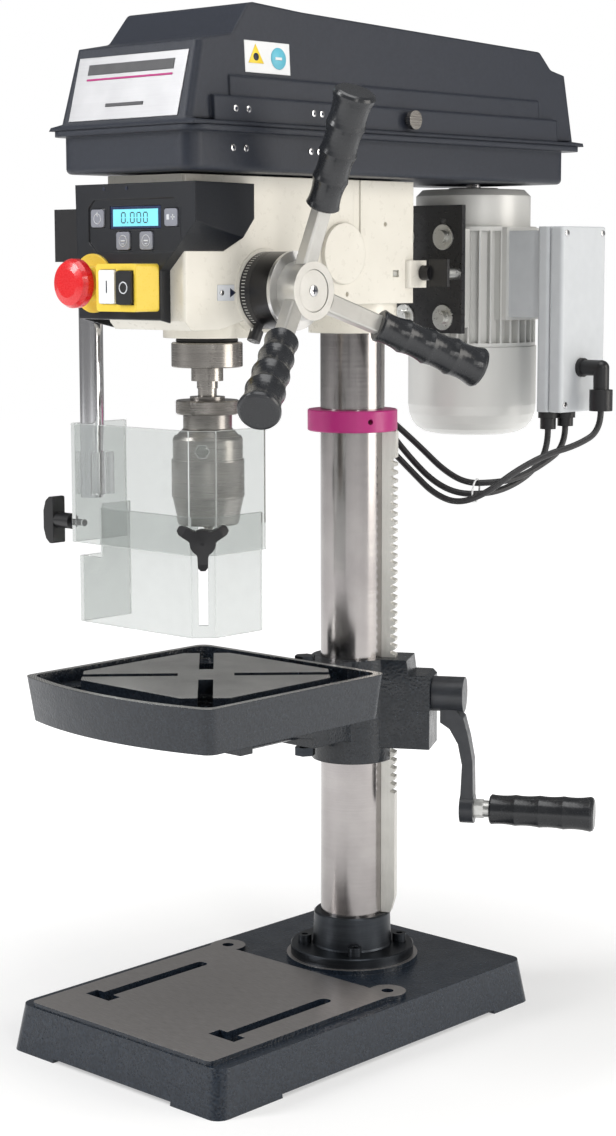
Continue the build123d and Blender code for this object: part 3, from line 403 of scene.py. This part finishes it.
# ---------------------------------------------------------------- column and rack
# Ground steel tube with long soft reflections, standing in a turned and blackened flange with
# four socket screws. The milled rack is kept on it by a moulded magenta ring.
def turned_steel(name, dark, light, roughness=0.24, stretch=(1, 1, 60), scale=22.0):
    """Steel with fine lathe or grinding lines; stretch sets which way they run."""
    finish = plain_finish(name, light, roughness, 1.0)
    lines = cloudy(finish, scale, 8, stretch, 0.7)
    stains = cloudy(finish, 26, 3)
    both = sum_of(finish, "ADD", sum_of(finish, "MULTIPLY", lines, 0.5),
                  sum_of(finish, "MULTIPLY", stains, 0.5))
    paint_with(finish, tone(finish, spread(finish, both, 0.3, 0.7), dark, light),
               spread(finish, lines, 0.25, 0.75, roughness - 0.06, roughness + 0.1))
    relief(finish, lines, 0.00003, 0.35, 0.0004)
    return finish


ground_steel = turned_steel("ground_steel", (0.29, 0.27, 0.27), (0.42, 0.40, 0.39), 0.17,
                            (1, 1, 300), 8)
clad(ground_steel, "column_tube")
blackened = turned_steel("blackened_steel", (0.030, 0.034, 0.040), (0.075, 0.082, 0.092), 0.36,
                         (1, 1, 30))
clad(blackened, "column_flange", "flange_screws", "table_clamp_bolt", "lock_lever")
rack_steel = turned_steel("rack_steel", (0.62, 0.61, 0.57), (0.80, 0.79, 0.75), 0.42, (6, 6, 1), 60)
shader_of(rack_steel).inputs["Metallic"].default_value = 0.45
clad(rack_steel, "rack")
magenta = plain_finish("ring_magenta", (0.40, 0.012, 0.16), 0.36)
shader_of(magenta).inputs["Coat Weight"].default_value = 0.1
paint_with(magenta, roughness=spread(magenta, cloudy(magenta, 300, 4), 0.3, 0.7, 0.28, 0.42))
relief(magenta, cloudy(magenta, 900, 3), 0.00005, 0.3, 0.0006)
clad(magenta, "rack_ring")

# ---------------------------------------------------------------- table
# Iron table and bracket in the same enamel, given darker tones than the base as painted shade, the
# bracket darkest under the table. The plateau inside the trough is faced on a lathe, so its turning
# marks run in rings about the drill's axis, painted lighter as real marks and a painted highlight;
# the rim of the tray is milled level.
TABLE_Y = -194.5
RIM_Z = 343.7


def faced_rings(finish):
    """Rings of lathe marks about the drill's axis."""
    centred = place_in(finish, shift=-at(0, TABLE_Y, 0))
    marks = add(finish, "TexWave", wave_type="RINGS", rings_direction="Z", Vector=centred,
                Scale=150, Distortion=0.6, Detail=2, Detail_Scale=1.5)
    return marks.outputs["Fac"]


# A darker copy of the base enamel: painted shade on the table's painted faces.
table_iron = hammered("table_shaded_enamel", (0.004, 0.006, 0.010), (0.013, 0.018, 0.026))
lathe_marks_and_highlight = faced_rings(table_iron)
bare_top = above(RIM_Z - 0.8)(table_iron)
stain = cloudy(table_iron, 34, 5)
iron_tone = tone(table_iron, spread(table_iron, stain, 0.3, 0.7), (0.42, 0.42, 0.41),
                 (0.60, 0.60, 0.58))
# The turning rings are painted lighter here: real lathe marks and a painted highlight of the rings.
iron_tone = tone(table_iron, sum_of(table_iron, "MULTIPLY", lathe_marks_and_highlight, 0.35), iron_tone,
                 (0.74, 0.74, 0.72))
shader = shader_of(table_iron)
paint_with(table_iron,
           tone(table_iron, bare_top, shader.inputs["Base Color"].links[0].from_socket, iron_tone),
           blend_of(table_iron, bare_top, shader.inputs["Roughness"].links[0].from_socket,
                    spread(table_iron, lathe_marks_and_highlight, 0, 1, 0.26, 0.42)),
           sum_of(table_iron, "MULTIPLY", bare_top, 0.9))
clad(table_iron, "table_tray")
# Darker still: painted shade on the bracket under the table.
bracket_shaded_enamel = hammered("bracket_shaded_enamel", (0.003, 0.005, 0.008), (0.010, 0.014, 0.020))
clad(bracket_shaded_enamel, "table_bracket")

# ---------------------------------------------------------------- crank
# Cast hand crank in satin black with a bare steel axle, and a dark moulded grip. The motor's
# slide is finished the same way: a black plate on two bare steel bars.
bright_steel = turned_steel("bright_steel", (0.46, 0.46, 0.47), (0.72, 0.72, 0.73), 0.2,
                            (40, 1, 1), 30)
clad(bright_steel, "crank_shaft", "lift_gear", "pinion_shaft", "motor_rotor")
crank_mix = plain_finish("crank_paint_and_axle", (0.04, 0.044, 0.05), 0.34)
coordinates = add(crank_mix, "TexCoord")
reach = add(crank_mix, "VectorMath", operation="DOT_PRODUCT")
join(crank_mix, coordinates.outputs["Object"], reach.inputs[0])
reach.inputs[1].default_value = (cos(radians(30)), sin(radians(30)), 0)
bare_axle = sum_of(crank_mix, "GREATER_THAN", reach.outputs["Value"],
                   (118.2 + COLUMN_Y * sin(radians(30))) * MM)
paint_with(crank_mix, tone(crank_mix, bare_axle,
                           tone(crank_mix, cloudy(crank_mix, 80, 5), (0.016, 0.018, 0.022),
                                (0.042, 0.046, 0.054)), (0.62, 0.62, 0.60)),
           spread(crank_mix, cloudy(crank_mix, 200, 4), 0.3, 0.7, 0.28, 0.42), bare_axle)
relief(crank_mix, cloudy(crank_mix, 180, 5), 0.0003, 0.4, 0.0012)
clad(crank_mix, "crank_arm")
slide_mix = plain_finish("slide_plate_and_bars", (0.02, 0.02, 0.022), 0.4)
plate_part = sum_of(slide_mix, "GREATER_THAN", object_axis(slide_mix, "Y"), (102.9 + COLUMN_Y) * MM)
paint_with(slide_mix, tone(slide_mix, plate_part, (0.62, 0.62, 0.60), (0.014, 0.014, 0.016)),
           spread(slide_mix, cloudy(slide_mix, 300, 4), 0.3, 0.7, 0.24, 0.4),
           sum_of(slide_mix, "SUBTRACT", 1.0, plate_part))
relief(slide_mix, cloudy(slide_mix, 300, 4), 0.0001, 0.4, 0.0006)
clad(slide_mix, "motor_slide")
grip_rubber = plain_finish("grip_plastic", (0.075, 0.077, 0.084), 0.38)
paint_with(grip_rubber, tone(grip_rubber, cloudy(grip_rubber, 45, 5), (0.011, 0.012, 0.014),
                             (0.026, 0.028, 0.032)),
           spread(grip_rubber, cloudy(grip_rubber, 260, 3), 0.3, 0.7, 0.2, 0.3))
relief(grip_rubber, cloudy(grip_rubber, 1200, 3), 0.00006, 0.5, 0.0008)
clad(grip_rubber, "crank_grip", "feed_grips")

# ---------------------------------------------------------------- head
# Head casting in cream enamel: the skin of the sand casting shows softly through the paint.
cream = plain_finish("cream_enamel", (0.80, 0.76, 0.66), 0.3)
cast_skin = cloudy(cream, 38, 6)
paint_with(cream, tone(cream, spread(cream, cast_skin, 0.3, 0.7), (0.77, 0.74, 0.66),
                       (0.81, 0.78, 0.70)),
           spread(cream, cloudy(cream, 160, 4), 0.3, 0.7, 0.24, 0.4))
shader_of(cream).inputs["Coat Weight"].default_value = 0.3
relief(cream, sum_of(cream, "ADD", cast_skin,
                     sum_of(cream, "MULTIPLY", cloudy(cream, 420, 3), 0.15)),
       0.0006, 0.25, 0.0014)
clad(cream, "head_casting", "spring_case")

# ---------------------------------------------------------------- quill and chuck
# Ground quill and collar, and a keyless chuck of turned steel whose sleeve and rear ring are
# diamond knurled.
AXIS_Y = -190.0


def knurled(name, bands):
    """Turned steel with diamond knurling about the spindle inside bands of height."""
    finish = turned_steel(name, (0.20, 0.19, 0.18), (0.36, 0.34, 0.32), 0.27, (1, 1, 400), 12)
    lines = shader_of(finish).inputs["Normal"].links[0].from_node
    centred = add(finish, "SeparateXYZ", Vector=place_in(finish, shift=-at(0, AXIS_Y, 0)))
    angle = sum_of(finish, "ARCTAN2", centred.outputs["Y"], centred.outputs["X"])
    height = centred.outputs["Z"]
    around = sum_of(finish, "MULTIPLY", angle, 96)
    along = sum_of(finish, "MULTIPLY", height, 3100)
    left = sum_of(finish, "SINE", sum_of(finish, "ADD", around, along))
    right = sum_of(finish, "SINE", sum_of(finish, "SUBTRACT", around, along))
    diamonds = sum_of(finish, "MAXIMUM", left, right)
    inside = 0.0
    for low, high in bands:
        band = sum_of(finish, "MULTIPLY", sum_of(finish, "GREATER_THAN", height, low * MM),
                      sum_of(finish, "LESS_THAN", height, high * MM))
        inside = sum_of(finish, "ADD", band, inside)
    knurl = add(finish, "Bump", Strength=0.9, Distance=0.0005, invert=True,
                Height=sum_of(finish, "MULTIPLY", diamonds, inside), Normal=lines.outputs["Normal"])
    join(finish, knurl.outputs["Normal"], shader_of(finish).inputs["Normal"])
    return finish


chuck_steel = knurled("chuck_steel", ((575, 585), (503, 533)))
clad(chuck_steel, "chuck_body", "chuck_sleeve")
quill_steel = turned_steel("quill_steel", (0.28, 0.26, 0.24), (0.46, 0.44, 0.41), 0.24,
                           (1, 1, 400), 12)
clad(quill_steel, "quill_sleeve", "spindle_shaft", "chuck_jaws", "spindle_bearings",
     "latch_knob")

# ---------------------------------------------------------------- feed handle
# Blasted aluminium hub and spokes; behind them a dark ring with a bright lip and the black
# depth ring, engraved with white lines all round.
FEED_Y, FEED_Z = -166.0, 680.5
blasted = plain_finish("blasted_aluminium", (0.62, 0.62, 0.60), 0.36, 0.6)
paint_with(blasted, tone(blasted, cloudy(blasted, 60, 6), (0.46, 0.45, 0.42), (0.64, 0.63, 0.60)),
           spread(blasted, cloudy(blasted, 500, 3), 0.3, 0.7, 0.28, 0.44))
relief(blasted, cloudy(blasted, 1400, 3), 0.00008, 0.5, 0.0008)
clad(blasted, "feed_hub", "spindle_pulley", "idler_pulley", "motor_pulley")
dark_ring = turned_steel("dark_ring", (0.028, 0.028, 0.030), (0.085, 0.085, 0.088), 0.3,
                         (30, 1, 1), 40)
bright_lip = sum_of(dark_ring, "GREATER_THAN", object_axis(dark_ring, "X"), 81 * MM)
paint_with(dark_ring, tone(dark_ring, bright_lip, (0.05, 0.05, 0.053), (0.62, 0.62, 0.62)))
clad(dark_ring, "hub_flange")
scale_ring = plain_finish("scale_ring", (0.02, 0.02, 0.022), 0.35)
centred = add(scale_ring, "SeparateXYZ", Vector=place_in(scale_ring, shift=-at(0, FEED_Y, FEED_Z)))
turns = sum_of(scale_ring, "ARCTAN2", centred.outputs["Y"], centred.outputs["Z"])
LINES_ROUND = 72
step = sum_of(scale_ring, "FRACT", sum_of(scale_ring, "MULTIPLY", turns, LINES_ROUND / (2 * pi)))
line = sum_of(scale_ring, "LESS_THAN", step, 0.2)
band = sum_of(scale_ring, "MULTIPLY",
              sum_of(scale_ring, "GREATER_THAN", centred.outputs["X"], 50.5 * MM),
              sum_of(scale_ring, "LESS_THAN", centred.outputs["X"], 54.5 * MM))
paint_with(scale_ring, tone(scale_ring, sum_of(scale_ring, "MULTIPLY", line, band),
                            (0.018, 0.018, 0.02), (0.75, 0.75, 0.72)))
relief(scale_ring, cloudy(scale_ring, 900, 3), 0.00004, 0.4, 0.0005)
clad(scale_ring, "depth_ring")

# ---------------------------------------------------------------- belt cover
# Pressed steel pan and lid in anthracite powder coat with a fine even grain.
powder = plain_finish("powder_coat", (0.045, 0.050, 0.060), 0.42)
grains = cloudy(powder, 1500, 3, rough=0.6)
paint_with(powder, tone(powder, cloudy(powder, 300, 5), (0.011, 0.014, 0.022),
                        (0.023, 0.028, 0.042)),
           spread(powder, grains, 0.3, 0.7, 0.34, 0.52))
shader_of(powder).inputs["Specular IOR Level"].default_value = 0.38
relief(powder, grains, 0.00028, 0.7, 0.0032)
clad(powder, "belt_housing", "cover_lid")
belt_rubber = plain_finish("belt_rubber", (0.02, 0.02, 0.02), 0.7)
relief(belt_rubber, cloudy(belt_rubber, 1200, 3), 0.0001, 0.5, 0.0003)
clad(belt_rubber, "drive_belts")

# ---------------------------------------------------------------- motor
# Die-cast motor in silver lacquer, with a pale grey moulded terminal box and black glands.
lacquer = plain_finish("silver_lacquer", (0.66, 0.66, 0.64), 0.28, 0.12)
paint_with(lacquer, tone(lacquer, cloudy(lacquer, 12, 3), (0.62, 0.62, 0.60), (0.68, 0.68, 0.66)),
           spread(lacquer, cloudy(lacquer, 30, 3), 0.3, 0.7, 0.33, 0.38))
relief(lacquer, cloudy(lacquer, 900, 2), 0.00003, 0.2, 0.0012)
shader_of(lacquer).inputs["Coat Weight"].default_value = 0.15
clad(lacquer, "motor_body", "fan_cover")


def moulding(name, colour, light, roughness, coat=0.0, edge=0.001, grain=0.00006):
    """Injection-moulded plastic: slight cloudiness, fine spark-eroded grain, rounded edges."""
    finish = plain_finish(name, colour, roughness)
    paint_with(finish, tone(finish, cloudy(finish, 70, 5), colour, light),
               spread(finish, cloudy(finish, 600, 3), 0.3, 0.7, roughness - 0.05, roughness + 0.08))
    shader_of(finish).inputs["Coat Weight"].default_value = coat
    shader_of(finish).inputs["Specular IOR Level"].default_value = 0.4
    relief(finish, cloudy(finish, 1800, 2), grain, 0.5, edge)
    return finish


box_grey = moulding("box_grey", (0.50, 0.52, 0.54), (0.58, 0.60, 0.62), 0.42)
clad(box_grey, "control_box")
black_moulding = moulding("black_moulding", (0.008, 0.008, 0.009), (0.016, 0.016, 0.018), 0.34)
clad(black_moulding, "cable_glands", "slide_lock_screw", "wing_knob", "tee_knob", "off_button",
     "guard_switch_box")

# ---------------------------------------------------------------- front shell and buttons
# Moulded navy-black shell with the display panel, the yellow switch box and the red mushroom.
shell_plastic = moulding("shell_plastic", (0.003, 0.004, 0.007), (0.006, 0.008, 0.013), 0.36, 0.1,
                         0.0018, 0.00012)
clad(shell_plastic, "front_shell")
clad(moulding("key_plastic", (0.20, 0.21, 0.25), (0.26, 0.27, 0.31), 0.4), "key_left", "key_right",
     "key_low_left", "key_low_right")
clad(moulding("yellow_plastic", (0.78, 0.55, 0.05), (0.86, 0.63, 0.08), 0.3, 0.3), "switch_housing",
     "stop_base")
clad(moulding("white_plastic", (0.78, 0.79, 0.78), (0.84, 0.85, 0.84), 0.28, 0.3), "start_button")
clad(moulding("red_plastic", (0.62, 0.008, 0.012), (0.74, 0.016, 0.02), 0.26, 0.4),
     "emergency_button")

# ---------------------------------------------------------------- guard
# Two clear polycarbonate screens whose cut edges and folds scatter white, on a chromed post with
# a clear clamp block round it.
def edge_light(finish, width):
    """Field that is 1 close to an edge."""
    bevel = add(finish, "Bevel", samples=4, Radius=width)
    flat = add(finish, "NewGeometry")
    match = add(finish, "VectorMath", operation="DOT_PRODUCT")
    join(finish, bevel.outputs["Normal"], match.inputs[0])
    join(finish, flat.outputs["Normal"], match.inputs[1])
    return spread(finish, match.outputs["Value"], 0.985, 0.93)


clear = plain_finish("clear_sheet", (0.70, 0.72, 0.71), 0.05)
clear_shader = shader_of(clear)
clear_shader.inputs["IOR"].default_value = 1.2
rim = edge_light(clear, 0.0012)
milky = spread(clear, cloudy(clear, 24, 5), 0.3, 0.8, 0.03, 0.11)
join(clear, sum_of(clear, "SUBTRACT", sum_of(clear, "SUBTRACT", 1.0, milky),
                   sum_of(clear, "MULTIPLY", rim, 0.55)), clear_shader.inputs["Transmission Weight"])
paint_with(clear, roughness=spread(clear, cloudy(clear, 30, 5), 0.35, 0.75, 0.02, 0.1))
clad(clear, "guard_upper", "guard_lower")
chrome = plain_finish("chrome_and_clamp", (0.78, 0.78, 0.80), 0.12)
post_place = add(chrome, "SeparateXYZ", Vector=place_in(chrome, shift=-at(-84.5, -248.8, 0)))
from_axis = sum_of(chrome, "SQRT", sum_of(
    chrome, "ADD", sum_of(chrome, "MULTIPLY", post_place.outputs["X"], post_place.outputs["X"]),
    sum_of(chrome, "MULTIPLY", post_place.outputs["Y"], post_place.outputs["Y"])))
clamp_part = sum_of(chrome, "GREATER_THAN", from_axis, 10.7 * MM)
paint_with(chrome, tone(chrome, clamp_part, (0.74, 0.74, 0.76), (0.97, 0.97, 0.97)),
           metallic=sum_of(chrome, "SUBTRACT", 1.0, clamp_part))
join(chrome, sum_of(chrome, "MULTIPLY", clamp_part, 0.94),
     shader_of(chrome).inputs["Transmission Weight"])
shader_of(chrome).inputs["IOR"].default_value = 1.2
clad(chrome, "guard_post")
HALF_TURN = radians(45)
chamfer = at(57.6, -253.6, 548)
outward = Vector((cos(-HALF_TURN), sin(-HALF_TURN), 0))
screw_head = drum(chamfer + outward * 0.002, 6.5, 4, "Z", 0.0006, 6)
screw_head.rotation_euler = (0, pi / 2, -HALF_TURN)
settle(screw_head, "guard_screw", clear, "guard")

# ---------------------------------------------------------------- display and marks
# Backlit display with four noughts built from dark bars, thin pale signs on the four keys, and
# the bar and ring of the two push buttons.
PANEL = -273.0
display_glass = plain_finish("display_glass", (0.16, 0.55, 0.66), 0.2)
glass_shader = shader_of(display_glass)
glass_shader.inputs["Emission Color"].default_value = (0.22, 0.68, 0.80, 1)
paint_with(display_glass, tone(display_glass, cloudy(display_glass, 60, 3), (0.14, 0.50, 0.62),
                               (0.22, 0.66, 0.76)))
glass_shader.inputs["Emission Strength"].default_value = 0.42
bezel_finish = moulding("bezel_blue", (0.010, 0.020, 0.070), (0.016, 0.032, 0.10), 0.3)
settle(block(at(0, PANEL + 1.2, 741.85), (61.6, 1.6, 18.5), 0.0003), "display_bezel", bezel_finish,
       "root")
settle(block(at(0, PANEL + 0.35, 741.6), (55, 0.5, 14.2), 0.0002), "display_glass", display_glass,
       "root")
mark_dark = moulding("mark_dark", (0.006, 0.010, 0.030), (0.012, 0.018, 0.045), 0.4)
bars = []
for left in (-14.5, -3.5, 4.5, 12.5):
    for x, z, size in ((0, 4.2, (3.6, 0.2, 0.9)), (0, -4.2, (3.6, 0.2, 0.9)),
                       (-2.3, 2.1, (0.9, 0.2, 3.4)), (-2.3, -2.1, (0.9, 0.2, 3.4)),
                       (2.3, 2.1, (0.9, 0.2, 3.4)), (2.3, -2.1, (0.9, 0.2, 3.4))):
        bars.append(block(at(left + x, PANEL, 741.6 + z), size, 0.0001, 1))
bars.append(block(at(-9.2, PANEL, 737.6), (1.1, 0.2, 1.1), 0.0001, 1))
settle(as_one(bars), "display_digits", mark_dark, "root")
mark_pale = moulding("mark_pale", (0.62, 0.64, 0.68), (0.70, 0.72, 0.75), 0.4)


def ring(centre, radius, thick, axis="Y"):
    """Thin round ring of a radius in millimetres, facing an axis."""
    select_none()
    bpy.ops.mesh.primitive_torus_add(location=centre, rotation=TURN_TO[axis],
                                     major_radius=radius * MM, minor_radius=thick * MM,
                                     major_segments=40, minor_segments=10)
    piece = bpy.context.active_object
    bpy.ops.object.shade_smooth()
    return piece


KEY_FACE = -274.15
settle(as_one([ring(at(-45.8, KEY_FACE, 741.2), 4.2, 0.35),
               block(at(-45.8, KEY_FACE - 0.1, 745), (0.9, 0.3, 4.4), 0.0001, 1)]),
       "power_sign", mark_pale, "left_key")
settle(as_one([block(at(40.6, KEY_FACE, 741.5), (3.4, 0.3, 4.6), 0.0001, 1),
               block(at(46.4, KEY_FACE, 741.5), (4.6, 0.3, 1.2), 0.0001, 1),
               block(at(46.4, KEY_FACE, 741.5), (1.2, 0.3, 4.6), 0.0001, 1)]),
       "zero_sign", mark_pale, "right_key")
for key, x in (("low_left_key", -14.2), ("low_right_key", 14.0)):
    settle(as_one([ring(at(x, KEY_FACE, 722.5), 4.6, 0.3),
                   block(at(x, KEY_FACE - 0.05, 722.5), (5.2, 0.3, 1.1), 0.0001, 1),
                   block(at(x, KEY_FACE - 0.05, 719.9), (3.2, 0.3, 0.8), 0.0001, 1)]),
           key + "_sign", mark_pale, key)
settle(block(at(-4.75, -302.05, 684.5), (1.3, 0.3, 10), 0.0001, 1), "on_bar", mark_dark, "start")
settle(ring(at(16.9, -303.05, 683.8), 4.6, 0.5), "off_ring", mark_pale, "off")
settle(as_one([drum(at(x, -274.1, 766), 1.6, 0.8, "Y", 0.0002, 20) for x in (-37, -9)]),
       "panel_clips", mark_dark, "root")

# ---------------------------------------------------------------- plates on the lid
# Anodised front plate with a magenta line between two grey fields, and a white side label with
# plain warning shapes. Both are stuck on and have slightly rounded corners.
LEAN = radians(14.9)
plate_metal = turned_steel("plate_metal", (0.36, 0.36, 0.37), (0.46, 0.46, 0.47), 0.42,
                           (1, 60, 60), 14)


def on_front(x, z, size, depth):
    """Flat piece on the leaning front of the lid, sized in millimetres."""
    y = -287 + 17 * (z - 819) / 64 - depth
    piece = block(at(x, y, z), size, 0.0002, 1)
    piece.rotation_euler = (-LEAN, 0, 0)
    return piece


settle(on_front(0, 848.5, (132, 1.0, 55), 0.3), "front_plate", plate_metal, "lid")
plate_grey = moulding("plate_grey", (0.05, 0.05, 0.055), (0.08, 0.08, 0.085), 0.4)
settle(as_one([on_front(0, 864.5, (104, 0.5, 9), 1.0), on_front(0, 834, (46, 0.5, 3), 1.0)]),
       "front_fields", plate_grey, "lid")
settle(on_front(0, 856.2, (104, 0.5, 1.8), 1.0), "front_line", magenta, "lid")


SIDE_LEAN = radians(3.36)


def on_side(y, z, size, out):
    """Flat piece on the leaning right side of the lid."""
    piece = block(at(78.7 - 0.0587 * (z - 819.5) + out, y, z), size, 0.0002, 1)
    piece.rotation_euler = (0, -SIDE_LEAN, 0)
    return piece


label_white = moulding("label_white", (0.72, 0.73, 0.74), (0.78, 0.79, 0.80), 0.35)
settle(on_side(-192, 872.5, (0.6, 54, 26), 0.3), "side_label", label_white, "lid")


UPRIGHT = Matrix.Rotation(pi / 2, 3, "X") @ Matrix.Rotation(pi / 2, 3, "Y")


def on_label(y, radius, sides, out):
    """Flat many-sided shape on the side label."""
    shape = drum(at(75.6 + out, y, 872.5), radius, 0.4, "X", 0.0001, sides)
    shape.rotation_euler = (Matrix.Rotation(-SIDE_LEAN, 3, "Y") @ UPRIGHT).to_euler()
    return shape


settle(on_label(-206, 10.5, 3, 0.75), "warning_shape", moulding("label_yellow", (0.80, 0.58, 0.03),
       (0.86, 0.64, 0.06), 0.35), "lid")
settle(on_label(-206, 3.2, 12, 1.0), "warning_dot", mark_dark, "lid")
settle(on_label(-179, 9, 40, 0.75), "order_shape", moulding("label_blue", (0.10, 0.42, 0.55),
       (0.14, 0.50, 0.62), 0.35), "lid")
settle(on_side(-179, 872.5, (0.4, 8, 2.4), 1.05), "order_bar", label_white, "lid")

# ---------------------------------------------------------------- rivets and screws
# Bright blind rivets on lid and pan, their holes drawn as dark discs of painted shade, the hub's
# crosshead screw with its recess drawn as a dark cross of painted shade, the box screws and the
# rubber buffer under the quill barrel.
RIVET_PLACES = (-237, -222, -143, -133)
LID_ROW, PAN_ROW = 829, 797.5
settle(as_one([drum(at(83.1, y, LID_ROW), 2.9, 1.6, "X", 0.0004, 24) for y in RIVET_PLACES]),
       "lid_rivets", bright_steel, "lid")
settle(as_one([drum(at(79.8, y, PAN_ROW), 2.9, 1.6, "X", 0.0004, 24) for y in RIVET_PLACES]),
       "pan_rivets", bright_steel, "root")
# The rivets' holes: dark discs that are painted shade.
settle(as_one([drum(at(84.0, y, LID_ROW), 1.1, 0.3, "X", 0.0001, 16) for y in RIVET_PLACES]),
       "lid_rivet_hole_shade", mark_dark, "lid")
settle(as_one([drum(at(80.7, y, PAN_ROW), 1.1, 0.3, "X", 0.0001, 16) for y in RIVET_PLACES]),
       "pan_rivet_hole_shade", mark_dark, "root")
settle(drum(at(103.9, FEED_Y, FEED_Z), 5, 1.4, "X", 0.0005), "hub_screw", bright_steel, "feed")
# The screw's cross recess: a dark cross that is painted shade.
settle(as_one([block(at(104.6, FEED_Y, FEED_Z), (0.4, 5.6, 1.1), 0.0001, 1),
               block(at(104.6, FEED_Y, FEED_Z), (0.4, 1.1, 5.6), 0.0001, 1)]),
       "hub_screw_recess_shade", mark_dark, "feed")
settle(as_one([drum(at(130, y, z), 3.2, 1.6, "X", 0.0004, 24)
               for y in (156, 213) for z in (570, 731)]),
       "box_screws", bright_steel, "motor")
buffer_ring = ring(at(0, AXIS_Y, 637.6), 24.8, 2.3, "Z")
settle(buffer_ring, "quill_buffer", belt_rubber, "root")

# ---------------------------------------------------------------- depth pointer
# Stamped steel pointer beside the depth ring: a plate with a painted black arrow and one screw.
settle(block(at(47.3, -214, 679), (0.8, 20, 13.5), 0.0003), "pointer_plate", mark_pale, "root")
settle(drum(at(47.8, -207, 679), 4.6, 0.3, "X", 0.0001, 3), "pointer_arrow", mark_dark, "root")
settle(drum(at(48.25, -219.5, 679), 2.3, 1.2, "X", 0.0003, 24), "pointer_screw", bright_steel,
       "root")

# ---------------------------------------------------------------- cable tie
# White nylon tie pulled round the three leads where they hang together.
tie = ring(at(84, 80, 491.5), 11, 0.9, "Z")
tie.rotation_euler = Vector((-23, -9, 2)).to_track_quat("Z", "Y").to_euler()
settle(tie, "cable_tie", label_white, "root")
